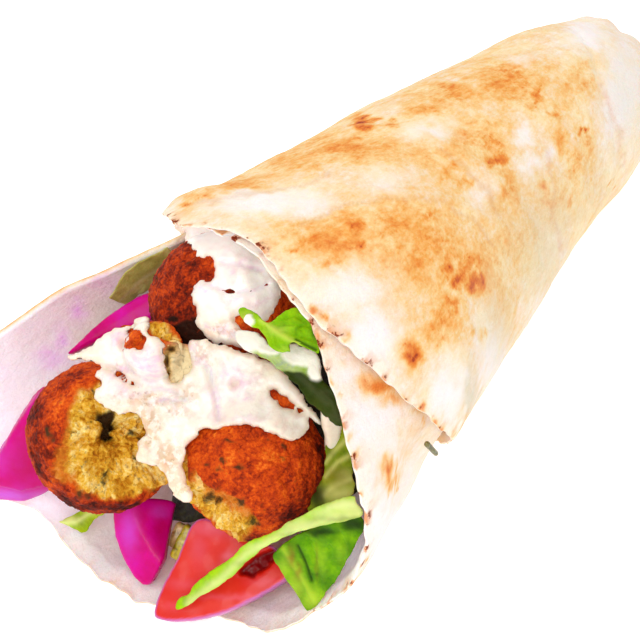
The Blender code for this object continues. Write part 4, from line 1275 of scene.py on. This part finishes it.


# Pieces cut flat: turnip wedges, tomato, leaves and the drip of sauce. Each lies on a plane through a point
# of the roll's frame. Its outline, ridge, veins and patches are the photograph's pixels.
# The leaves' dark patches are painted shade.
cuts = {
    "turnipBack": {
        "node": "turnip_back", "slot": "turnip", "at": (-37.9, -17.8, 39.4), "along": (-14, -17, -11.5),
        "facing": (0.5, -0.3, 0.8), "thick": 4.4, "soft": 1, "cell": 0.4,
        "outline": (
            (65, 354), (75, 344), (89, 330), (104, 317), (121, 305), (146, 291), (156, 295), (158, 315),
            (148, 320), (138, 326), (128, 330), (112, 335), (101, 339), (84, 347), (72, 353),
        ),
        "ridge": ((66, 353), (110, 322), (150, 296)), "slopes": (0.12, 0.3),
    },
    "turnipLeft": {
        "node": "turnip_left", "slot": "turnip", "at": (-42.2, -49, 21.6), "along": (0.1, 0.35, 0.93),
        "facing": (0.5, -0.68, 0.45), "thick": 8.5, "soft": 1.2, "cell": 0.45,
        "outline": (
            (33, 402), (15, 428), (0, 453), (-15, 477), (-24, 497), (-14, 512), (0, 512), (21, 511),
            (30, 508), (46, 500), (62, 480), (62, 430), (50, 404),
        ),
        "ridge": ((-30, 490), (0, 487), (20, 492), (60, 482)), "slopes": (0.75, 0.1),
        # painted light and shade on the facets
        "pale": ((10, 500, 40, 9, 1), (-5, 460, 14, 12, 0.4)),
        "dark": ((30, 465, 26, 40, 0.8), (17.5, 451, 2, 2, 1)),
    },
    "turnipFront": {
        "node": "turnip_front", "slot": "turnip", "at": (-8.7, -48.1, 12.1), "along": (0.4, -0.72, -0.62),
        "thick": 6, "soft": 0.5, "cell": 0.3,
        "outline": (
            (111, 500), (174, 496), (171, 512), (168, 528), (166, 546), (163, 560), (156, 572), (150, 582),
            (143, 586), (132, 577), (123, 563), (116, 545), (112, 528), (111, 512),
        ),
        "ridge": ((131, 498), (134, 512), (142, 534), (152, 550), (162, 562)), "slopes": (0.45, 0.5),
        # painted light and shade on the facets
        "pale": ((128, 530, 9, 20, 0.7), (158, 511, 8, 6, 0.5)),
        "dark": ((160, 530, 9, 22, 0.8), (140, 580, 8, 5, 0.4)),
    },
    "tomatoSlice": {
        "node": "tomato_slice", "slot": "tomato", "at": (7.5, -44.8, 12.9), "along": (0.736, 0.629, 0.25),
        "facing": (0.179, -0.537, 0.825), "thick": 3.6, "soft": 0.5, "cell": 0.3,
        "outline": (
            (153, 615), (156, 600), (165, 581), (176, 561), (184, 541), (190, 526), (198, 518), (210, 518),
            (222, 526), (240, 534), (262, 540), (276, 548), (284, 560), (291, 574), (283, 582), (270, 590),
            (258, 597), (240, 606), (223, 613), (205, 618), (188, 621), (170, 621), (157, 619),
        ),
        "hollow": (
            (239, 574), (242, 566), (252, 556), (262, 551), (280, 545), (291, 546), (283, 554), (274, 560),
            (266, 568), (260, 575), (249, 578),
        ),
        "hollowDepth": 1.3,
        # the pale flesh lines, and painted highlights
        "pale": (
            (212, 527, 22, 9, 1), (228, 556, 6, 5, 0.8), (199, 548, 8, 16, 0.55), (182, 584, 14, 5, 0.45),
            (238, 597, 36, 3, 0.7), (264, 582, 14, 4, 0.5), (176, 606, 12, 4, 0.4),
        ),
        "dark": (
            (248, 556, 10, 8, 0.7), (222, 564, 7, 7, 0.6), (272, 572, 12, 8, 0.5), (215, 590, 20, 8, 0.4),
        ),
    },
    "lettuceStrip": {
        "node": "lettuce_strip", "slot": "lettuce", "look": "lettuce, fresh", "at": (20, -46.3, 26.2),
        "along": (0.64, 0.388, 0.665), "facing": (0.015, -0.871, 0.491), "thick": 0.9, "soft": 0.35,
        "cell": 0.3, "ragged": 0.1, "ruffle": 0.35,
        "bend": ((-26, 0), (-18, 0), (-6, 1.6), (6, 2.4), (14, 1.4), (26, 0)),
        "outline": (
            (175, 611), (177, 599), (189, 595), (194, 585), (208, 573), (224, 563), (236, 555), (241, 546),
            (252, 540), (267, 535), (282, 528), (289, 521), (305, 514), (322, 504), (336, 500), (354, 494),
            (357, 504), (363, 510), (362, 517), (349, 520), (323, 526), (305, 529), (292, 534), (280, 539),
            (262, 549), (252, 557), (241, 566), (235, 575), (225, 581), (212, 591), (198, 597), (190, 605),
        ),
        "veins": (
            (((190, 602), (224, 577), (248, 553), (284, 533), (320, 522), (360, 513)), 0.9, 0.3),
            (((330, 507), (345, 503), (358, 503)), 0.6, 0.2),
        ),
        "pale": (
            (300, 524, 18, 7, 0.8), (262, 545, 16, 3, 0.4), (218, 583, 10, 3, 0.3), (350, 506, 22, 8, 1),
            (330, 513, 22, 6, 0.8),
        ),
        "dark": (
            (345, 518, 24, 3, 0.5), (200, 595, 6, 6, 0.2), (292, 534, 26, 3, 0.35), (244, 563, 14, 3, 0.3),
            (186, 600, 5, 5, 0.3),
        ),
    },
    "lettuceRight": {
        "node": "lettuce_right", "slot": "lettuce", "look": "lettuce, dark", "at": (29.5, -30, 36.8),
        "along": (0.2, 0.6, 0.8), "facing": (0.2, -0.9, 0.4), "thick": 0.8, "soft": 0.35, "cell": 0.35,
        "ragged": 0.35, "ruffle": 0.5,
        "outline": (
            (322, 402), (330, 399), (338, 402), (342, 409), (345, 416), (346, 430), (350, 444), (353, 460),
            (354, 480), (356, 497), (340, 506), (322, 512), (310, 513), (306, 508), (314, 497), (321, 479),
            (326, 458), (328, 440), (326, 420),
        ),
        "veins": (
            (((352, 478), (338, 484), (322, 496)), 0.7, 0.35),
            (((350, 455), (338, 462), (326, 476)), 0.5, 0.25),
            (((346, 440), (335, 450), (326, 462)), 0.5, 0.2),
            (((315, 386), (326, 396), (338, 414)), 0.4, 0.15),
        ),
        "pale": ((340, 494, 20, 8, 1), (345, 474, 8, 6, 0.5)),
        "dark": (
            (330, 402, 14, 12, 0.9), (330, 440, 6, 16, 0.6), (318, 495, 9, 14, 1), (340, 418, 5, 6, 0.5),
        ),
        "brown": ((338, 476, 14, 9, 0.5),),
    },
    "lettuceLeft": {
        "node": "lettuce_left", "slot": "lettuce", "at": (-24.5, -45.3, 7.4), "along": (0.6, 0.7, 0.4),
        "thick": 0.7, "soft": 0.3, "cell": 0.3, "ragged": 0.2, "ruffle": 0.3,
        "outline": (
            (57, 522), (64, 519), (71, 517), (79, 512), (92, 503), (112, 503), (111, 511), (98, 516),
            (93, 520), (88, 529), (82, 534), (74, 528), (66, 525),
        ),
        "veins": ((((62, 522), (78, 521), (98, 508)), 0.5, 0.2),),
        "pale": ((70, 521, 10, 4, 0.9), (96, 510, 10, 4, 0.5)),
    },
    "lettuceTop": {
        "node": "lettuce_top", "slot": "lettuce", "at": (16, -28.5, 58.5), "along": (1, -0.25, -0.1),
        "thick": 0.9, "soft": 0.35, "cell": 0.3, "ragged": 0.25, "ruffle": 0.5, "crisp": (0.12, 0.4),
        "outline": (
            (236, 330), (250, 331), (262, 338), (270, 347), (283, 345), (293, 343), (303, 347), (314, 352),
            (320, 356), (321, 367), (322, 380), (328, 388), (337, 392), (341, 400), (337, 404), (343, 411),
            (346, 418), (345, 428), (330, 421), (318, 411), (306, 399), (300, 389), (292, 381), (283, 372),
            (271, 362), (258, 355), (245, 350), (236, 343),
        ),
        "veins": (
            (((262, 352), (280, 361), (297, 373), (312, 388), (328, 404)), 0.7, 0.3),
            (((322, 392), (332, 402), (340, 420)), 0.4, 0.2),
        ),
        "dark": (
            (290, 380, 16, 6, 1), (300, 388, 16, 9, 1), (312, 392, 16, 12, 1), (322, 402, 18, 15, 1),
            (336, 410, 12, 17, 1),
        ),
        "film": ((286, 364, 22, 9, 1), (272, 356, 14, 6, 1), (304, 374, 10, 6, 0.8)),
        "coat": ((306, 356, 22, 11, 1), (317, 368, 9, 14, 1), (250, 340, 26, 13, 1), (274, 350, 16, 6, 1)),
        "pale": ((331, 393, 8, 4, 0.6), (335, 418, 10, 6, 0.7)),
    },
    "sauceDrip": {
        "node": "sauce_drip", "slot": "sauce", "at": (25, -27.6, 44.6), "along": (0.2, 0.1, -0.9),
        "thick": 2.2, "soft": 1.1, "cell": 0.3,
        "outline": (
            (323, 412), (333, 416), (343, 424), (343, 434), (339, 450), (332, 461), (327, 458), (327, 442),
            (323, 428),
        ),
        "even": {"dull": 0.7, "light": 0.3},
    },
    "mintTop": {
        "node": "mint_top", "slot": "mint", "at": (12, -27, 66.5), "along": (1, -0.1, 0.2), "thick": 0.6,
        "soft": 0.25, "cell": 0.25, "ragged": 0.12, "ruffle": 0.4,
        "outline": (
            (239, 313), (239, 309), (242, 307), (248, 309), (256, 313), (261, 318), (265, 323), (270, 323),
            (274, 319), (278, 315), (285, 311), (296, 308), (304, 311), (310, 316), (316, 321), (319, 328),
            (320, 337), (319, 345), (319, 354), (311, 351), (300, 345), (293, 342), (289, 344), (290, 348),
            (292, 354), (286, 352), (281, 353), (271, 350), (267, 341), (262, 332), (259, 328), (253, 328),
            (247, 324), (242, 318),
        ),
        "veins": (
            (((262, 321), (275, 330), (283, 336), (290, 340), (300, 344)), 0.55, 0.35),
            (((278, 325), (292, 324), (305, 326)), 0.36, -0.45),
            (((287, 331), (298, 336), (312, 339)), 0.36, -0.45),
            (((283, 319), (296, 315), (304, 322), (312, 329)), 0.36, -0.45),
            (((300, 326), (304, 334)), 0.32, -0.35), (((275, 336), (277, 344), (283, 350)), 0.32, -0.35),
            (((266, 326), (271, 338), (274, 348)), 0.2, -0.25),
            (((296, 340), (306, 345), (316, 350)), 0.34, -0.35),
        ),
        # the first pale patch is a painted highlight in the curl
        "pale": ((247, 318, 6, 5, 1), (278, 331, 10, 5, 0.6), (285, 350, 8, 4, 0.3)),
        "dark": (
            (317, 330, 5, 14, 0.9), (305, 312, 9, 4, 0.7), (298, 333, 4, 6, 0.4), (312, 344, 4, 5, 0.4),
            (302, 321, 15, 6, 0.3), (303, 338, 12, 6, 0.28),
        ),
        # a painted highlight in the curl
        "coat": ((250, 321, 5, 6, 1),),
    },
    "mintBottom": {
        "node": "mint_bottom", "slot": "mint", "look": "mint, lower", "at": (27.4, -41.5, 23),
        "along": (0.05, 0.2, 0.97), "facing": (0.3, -0.95, 0.2), "thick": 0.6, "soft": 0.25, "cell": 0.3,
        "ragged": 0.12, "ruffle": 0.3,
        "outline": (
            (271, 556), (281, 545), (292, 538), (303, 531), (323, 524), (349, 518), (362, 514), (366, 525),
            (357, 542), (348, 560), (336, 580), (323, 596), (312, 614), (305, 608), (297, 594), (287, 579),
            (278, 567),
        ),
        "veins": (
            (((284, 547), (292, 560), (300, 572), (308, 586), (316, 600)), 0.6, 0.3),
            (((307, 536), (315, 556), (319, 572), (321, 590)), 0.4, -0.4),
            (((340, 532), (346, 545), (344, 560)), 0.36, -0.35),
            (((330, 545), (332, 560), (328, 580)), 0.34, -0.3),
            (((298, 545), (306, 562), (312, 580)), 0.34, -0.3),
        ),
        "pale": (
            (296, 588, 8, 14, 0.8), (284, 568, 6, 10, 0.6), (312, 598, 9, 10, 0.9), (322, 560, 5, 16, 0.3),
            (342, 552, 5, 12, 0.3),
        ),
        "dark": (
            (354, 523, 16, 8, 0.95), (320, 531, 20, 5, 0.9), (350, 546, 8, 10, 0.35),
            (335, 538, 10, 4, 0.35),
        ),
        "brown": ((292, 556, 3, 9, 0.9), (299, 570, 3, 8, 0.8), (317, 560, 1.5, 16, 0.5)),
    },
}
cutNoise = {
    "ragged": ((1.6, 2.2, 81), (1, 0.9, 82)),  # times the piece's own value
    "ruffle": ((1.8, 5, 83), (0.7, 2, 84)),
    "warp": (2.5, 1.5, 90),  # pixels
    "hollowEdge": (0.5, 1.4, 85),
    "hollow": (0.5, 1.2, 86),
    "top": (0.12, 4, 87),
    "below": (0.3, 4, 89),
}
cutSolid = {"from": 2, "least": 0.8, "ridge": 0.8, "coat": 0.5, "leafEdge": 0.35}  # mm
cutEdges = {"coat": (0.3, 0.55), "hollow": (-0.3, 0.7), "skin": (0.6, 0.2)}
cutDefaults = {
    "bend": ((-99, 0), (99, 0)), "ragged": 0.08, "ruffle": 0, "veins": (), "crisp": (0, 1), "even": {},
    "pale": (), "dark": (), "brown": (), "film": (), "coat": (),
}


def planeSeen(pixels, cut, turned, lift):
    # where rays through pixels meet the plane, lifted, in mm along and across it
    right, up, ahead = cameraAxes()
    offset = (np.asarray(pixels, float) - view["imageSide"] / 2) / view["focalPixels"]
    rays = ahead + offset[:, :1] * right - offset[:, 1:] * up
    start = np.array(view["place"]) - np.array(cut["at"])
    far = (lift - start @ turned[2]) / (rays @ turned[2])
    return (start + far[:, None] * rays) @ turned[:2].T


def cutPiece(name, cut, material):
    cut = cutDefaults | cut
    turned, at = basis(cut), np.array(cut["at"])
    edge = planeSeen(cut["outline"], cut, turned, 0)
    for _ in range(3):
        edge = planeSeen(cut["outline"], cut, turned, curveThrough(cut["bend"], edge[:, 0]))
    middle = (edge.min(axis=0) + edge.max(axis=0)) / 2
    half = (edge.max(axis=0) - edge.min(axis=0)) / 2 + 1

    def depthIn(x, y):
        flat = flatAt(x + middle[0], y + middle[1])
        return insideBy(flat[:, :2], edge) + cut["ragged"] * relief(flat, *cutNoise["ragged"])

    shape, x, y, second = cutSheet(*half, cut["cell"], depthIn)
    inside = np.maximum(depthIn(x, y), 0)
    x, y = x + middle[0], y + middle[1]
    flat = flatAt(x, y)
    lift = curveThrough(cut["bend"], x) + cut["ruffle"] * relief(flat, *cutNoise["ruffle"])
    pixels, perMm = seenAt(np.stack((x, y, lift), axis=1) @ turned + at)
    warped = pixels + relief(flat, cutNoise["warp"])[:, None]
    vein = np.zeros_like(x)
    for line, width, height in cut["veins"]:
        near = alongLine(pixels, line, width * perMm)
        lift = lift + height * near
        vein = np.maximum(vein, near) if height > 0 else np.where(vein > near, vein, -near)
    masks = {mask: spots(warped, cut[mask]) for mask in ("pale", "dark", "brown", "film", "coat")}
    masks["dark"] = rise(*cut["crisp"], masks["dark"])
    masks["coat"] = rise(*cutEdges["coat"], masks["coat"])
    masks |= {"vein": np.maximum(vein, 0), "crease": np.maximum(-vein, 0)}
    lift = lift + cutSolid["coat"] * masks["coat"] * ~second
    if "hollow" in cut:
        depth = insideBy(pixels, cut["hollow"]) / perMm + relief(flat, cutNoise["hollowEdge"])
        hollow = rise(*cutEdges["hollow"], depth) * ~second
        lift = lift + hollow * (relief(flat, cutNoise["hollow"]) - cut["hollowDepth"])
        masks |= {"hollow": hollow, "skin": rise(*cutEdges["skin"], inside)}
    top = lift.copy()
    if "ridge" in cut:
        far, side = nearLine(pixels, cut["ridge"])
        top -= np.where(side > 0, *cut["slopes"]) * np.sqrt((far / perMm) ** 2 + cutSolid["ridge"])
    thick = cut["thick"]
    lip = 1 - np.sqrt(1 - (1 - np.clip(inside / cut["soft"], 0, 1)) ** 2)
    if thick > cutSolid["from"]:
        top += relief(flat, cutNoise["top"]) - cut["soft"] * lip
        below = cut["soft"] * lip - thick + relief(flat, cutNoise["below"])
        below = np.minimum(below, top - cutSolid["least"])
    else:
        halfThick = thick * (0.5 - cutSolid["leafEdge"] * lip)
        top += halfThick
        below = lift - halfThick
    movePoints(shape, np.stack((x, y, np.where(second, below, top)), axis=1) @ turned + at)
    for mask, value in cut["even"].items():
        masks[mask] = np.full(len(x), value)
    finishMesh(name, cut["node"], shape, cut["slot"], material, masks)


def tomatoPaint():
    paint = Paint("tomato", rough=0.3, shine=0.2, coatRough=0.08, scatter=0.2, scatterDepth=0.003)
    broad, fine = paint.texture(9, 2), paint.texture(0.8, 3)
    amount = (broad - 0.5) * 0.9 + (fine - 0.5) * 0.16 + 0.45
    paint.set("Base Color", paint.coats(
        paint.ramp(amount, (0.0, 204, 16, 2), (0.5, 222, 34, 12), (1.0, 234, 66, 40)),
        # pale: the flesh's pale lines and painted highlights; hollow: the cavity's deeper red and painted
        # shade in the recess
        (paint.mask("pale") * 0.75, (232, 96, 120)),
        (paint.mask("dark") * 0.6, (206, 20, 6)),
        (paint.mask("hollow"), (128, 8, 14)),
        (paint.mask("skin") * 0.8, (196, 120, 190)),
    ))
    paint.set("Coat Weight", broad * 0.3)
    paint.bump(fine * 0.4, 0.1)
    return paint.material


# The leaf at the left wall, a ribbon along a path, in mm.
ribbon = {
    "path": ((-41.5, -13, 40), (-37, -8.5, 46), (-31.5, -3, 50)),
    "facing": (0.8, -0.5, -0.2),
    "widths": (3, 4.6, 4.6),
    "thickness": 0.7,
    "cells": (60, 32),
    "ragged": ((0.4, 3, 91), (0.24, 1.2, 92)),
    "ruffle": (0.64, 4.5, 93),
    "fineRuffle": (0.2, 1.8, 94),
    "ruffleInMiddle": 0.3,  # added to its share towards the sides
    "sharpSides": 0.9,
    "sidesApart": 9,  # mm, so that the two sides tear differently
    "feel": 0.02,  # share of the path over which its way is felt
    "rib": (0.5, 0.12),  # strength and width
}


def leafRibbon(material):
    shape, u, v, second = twoSkins(*ribbon["cells"])
    lines = [evenly([point[axis] for point in ribbon["path"]]) for axis in range(3)]

    def middle(at):
        return np.stack([curveThrough(line, at) for line in lines], axis=1)

    along = unit(middle(np.minimum(u + ribbon["feel"], 1)) - middle(np.maximum(u - ribbon["feel"], 0)))
    side = unit(np.cross(along, np.array(ribbon["facing"])))
    up = np.cross(side, along)
    across = 2 * v - 1
    length = sum(math.dist(a, b) for a, b in zip(ribbon["path"], ribbon["path"][1:]))
    edge = flatAt(u * length, np.sign(across) * ribbon["sidesApart"])
    width = curveThrough(evenly(ribbon["widths"]), u) + relief(edge, *ribbon["ragged"])
    spot = flatAt(u * length, across * width)
    ruffle = relief(spot, ribbon["ruffle"]) * (ribbon["ruffleInMiddle"] + across**2)
    ruffle += relief(spot, ribbon["fineRuffle"])
    half = ribbon["thickness"] / 2 * np.sqrt(np.clip(1 - ribbon["sharpSides"] * across**4, 0, 1))
    lift = ruffle + np.where(second, -half, half)
    movePoints(shape, middle(u) + side * (across * width)[:, None] + up * lift[:, None])
    strength, wide = ribbon["rib"]
    rib = strength * hill(across, wide)
    finishMesh("lettuceWall", "lettuce_wall", shape, "lettuce", material, {"vein": rib})


def leafPaint(name, dark, middle, light, vein, shadow):
    paint = Paint(name, rough=0.4, shine=0.08, coatRough=0.2, scatter=0.2, scatterDepth=0.002)
    broad, fine = paint.texture(4.5, 3), paint.texture(0.8, 3)
    amount = (broad - 0.5) * 1.4 + (fine - 0.5) * 0.4 + 0.5
    paint.set("Base Color", paint.coats(
        paint.ramp(amount, (0.1, *dark), (0.5, *middle), (0.9, *light)),
        # pale: lighter ribs, and painted highlights on some leaves
        (paint.mask("pale") * 0.8, vein),
        (paint.mask("vein") * 0.6, vein),
        # painted shade in the creases
        (paint.mask("crease") * 0.85, shadow),
        (paint.mask("brown") * 0.75, (134, 92, 30)),
        (paint.mask("film") * paint.between(0.2, 0.7, fine + broad - 0.5), (160, 174, 146)),
        # painted shade on the parts of the leaves that lie in shadow
        (paint.mask("dark") * 0.92, shadow),
        # the sauce smear on the lettuce, and a painted highlight in the mint's curl
        (paint.mask("coat"), (252, 246, 232)),
    ))
    paint.set("Roughness", 0.4 + fine * 0.25)
    paint.bump(fine * 0.5 + broad * 0.6, 0.3)
    return paint.material


# The chopped salad inside the roll, in mm, from its front to the closed tail.
salad = {
    "start": 8,
    "end": 156,
    "front": 0.28,  # shares of the sphere: where the front's flat part ends and the tail's closing begins
    "back": 0.83,
    "frontEdge": 0.34,
    "closing": 0.6,
    # the spill carries the near-black salad into the gap between the falafels, as painted shade
    "spill": (34, 40, 6),  # how far it runs out below, rising from the second height to the third
    "room": 0.7,
    "segments": (150, 110),
    "wander": (1.5, 6, 0),
    "leafy": ((2.2, 5, 95), (1.1, 2.2, 96)),
    "leafySunk": 0.6,
    "bulge": (10, -9, 7, 9, 8),  # depth, then place across and width, height and width
}


def saladCore(material):
    shape = bmesh.new()
    columns, rows = salad["segments"]
    bmesh.ops.create_uvsphere(shape, u_segments=columns, v_segments=rows, radius=1)
    atX, atY, atZ = placesOf(shape).T
    share = np.degrees(np.arctan2(atZ, np.hypot(atX, atY))) / 180 + 0.5
    turn = np.degrees(np.arctan2(atY, atX)) % 360
    behind = np.maximum(0, (share - salad["front"]) / (1 - salad["front"]))
    along = salad["start"] + (salad["end"] - salad["start"]) * behind
    edge = rollPoints(turn, along, 2 * bread["layerStep"] + bread["thickness"] + salad["room"])
    middle = np.stack((section(along, "bend"), edge[:, 1], section(along, "height")), axis=1)
    closing = np.clip(np.minimum(share / salad["front"], (1 - share) / (1 - salad["back"])), 0, 1)
    points = middle + (edge - middle) * (closing ** salad["closing"])[:, None]
    front = share < salad["frontEdge"]
    spill, high, low = salad["spill"]
    points[:, 1] = np.where(front, salad["start"] - spill * rise(high, low, points[:, 2]), points[:, 1])
    points[:, 1] += relief(points, salad["wander"])
    deep, x, wide, z, tall = salad["bulge"]
    bulge = deep * hill(points[:, 0] - x, wide) * hill(points[:, 2] - z, tall)
    points[:, 1] += front * (relief(points, *salad["leafy"]) - salad["leafySunk"] - bulge)
    movePoints(shape, points)
    finishMesh("saladCore", "salad_filling", shape, "salad", material)


def saladPaint():
    # painted shade: the salad is coloured near black for the shaded gaps between the pieces, with some dark
    # green
    paint = Paint("chopped salad", rough=0.5, shine=0.5)
    broad, fine = paint.texture(5, 3), paint.texture(1.2, 4)
    paint.set("Base Color", paint.ramp(
        (broad - 0.5) * 1.8 + (fine - 0.5) * 0.6 + 0.45,
        (0.0, 10, 8, 4), (0.45, 26, 22, 8), (0.7, 60, 64, 14), (0.88, 110, 90, 30), (1.0, 120, 30, 60),
    ))
    paint.bump(broad + fine, 0.8)
    return paint.material


studio = {
    "floorSize": 3.0,
    "sky": 0.76,
    "floorGlow": 0.72,
    "floorAlbedo": 0.6,
    "lights": (  # place and aim in metres, size, watts
        ((-0.4, 0.3, 0.8), (0, 0, 0.03), 0.5, 1.6),
        ((0.25, -0.6, 0.62), (0, -0.05, 0.03), 0.5, 3.2),
    ),
}


def makeStudio():
    shape = bmesh.new()
    bmesh.ops.create_grid(shape, x_segments=1, y_segments=1, size=studio["floorSize"] / 2)
    white, grey = (1, 1, 1, 1), (*(studio["floorAlbedo"],) * 3, 1)
    glow = {"glowColour": white, "glow": studio["floorGlow"]}
    paint = Paint("floor, white", colour=grey, rough=0.9, shine=0.1, **glow)
    floor = addObject("floor", meshFrom("floor", shape, paint.material))
    world = bpy.data.worlds.new("studio")
    world.use_nodes = True
    sky = world.node_tree.nodes["Background"]
    sky.inputs["Color"].default_value = white
    sky.inputs["Strength"].default_value = studio["sky"]
    bpy.context.scene.world = world
    for i, (place, aim, size, watts) in enumerate(studio["lights"]):
        lamp = bpy.data.lights.new(f"softLight{i}", "AREA")
        lamp.size = size
        lamp.energy = watts
        light = addObject(lamp.name, lamp)
        light.location = place
        light.rotation_euler = (Vector(aim) - Vector(place)).to_track_quat("-Z", "Y").to_euler()
    bpy.context.scene.view_settings.view_transform = "Standard"


def makeCamera():
    lens = bpy.data.cameras.new("camera")
    lens.sensor_width = view["sensor"]
    lens.lens = view["focalPixels"] * view["sensor"] / view["imageSide"]
    lens.clip_start, lens.clip_end = view["clip"]
    camera = addObject("camera", lens)
    right, up, ahead = cameraAxes()
    turned = Matrix(np.stack((right, up, -ahead), axis=1).tolist()).to_4x4()
    place = (Vector(view["place"]) + Vector(rollOrigin)) * mm
    camera.matrix_world = Matrix.Translation(place) @ turned
    bpy.context.scene.camera = camera


print("camera and studio")
makeCamera()
makeStudio()

print("bread")
breadLook = breadPaint()
breadSheet("breadOuter", "bread_outer", 264, 178, outerLayout, breadLook)
breadSheet("breadInner", "bread_inner", 330, 145, innerLayout, breadLook)

print("falafels")
falafelLook = falafelPaint()
for name, ball in falafels.items():
    falafelBall(name, ball, falafelLook)
crumbLayer(falafelLook)

print("sauce")
sauceLook = saucePaint()
for name, pool in pools.items():
    saucePool(name, pool, sauceLook)

print("salad")
leafColours = {  # dark, middle, light, vein, shadow
    "lettuce": ((120, 150, 2), (158, 190, 6), (190, 216, 40), (226, 236, 150), (12, 24, 6)),
    "lettuce, fresh": ((118, 160, 0), (152, 200, 0), (180, 216, 10), (220, 226, 150), (70, 88, 6)),
    # painted shade: the darker lettuce and the lower mint are copies made darker for leaves that lie in
    # shade
    "lettuce, dark": ((80, 104, 0), (122, 140, 2), (160, 170, 24), (212, 210, 118), (24, 34, 0)),
    "lettuce, wilted": ((134, 134, 56), (168, 166, 86), (202, 198, 128), (206, 204, 168), (70, 68, 30)),
    "mint": ((88, 146, 0), (130, 186, 0), (166, 210, 10), (200, 216, 90), (18, 50, 2)),
    "mint, lower": ((50, 104, 0), (92, 150, 0), (136, 188, 0), (176, 204, 50), (20, 42, 0)),
}
pickleColours = {  # dark, light
    "pickle": ((110, 96, 4), (210, 196, 30)),
    "pickle, pale": ((150, 110, 40), (226, 190, 120)),
    "stalk": ((70, 70, 20), (130, 120, 50)),
}
looks = {"turnip": turnipPaint(), "tomato": tomatoPaint(), "sauce": sauceLook}
for colours, makePaint in ((leafColours, leafPaint), (pickleColours, picklePaint)):
    for look, shades in colours.items():
        looks[look] = makePaint(look, *shades)
for pieces, makePiece in ((sticks, cutStick), (cuts, cutPiece)):
    for name, piece in pieces.items():
        makePiece(name, piece, looks[piece.get("look", piece["slot"])])
leafRibbon(looks["lettuce, wilted"])
saladCore(saladPaint())
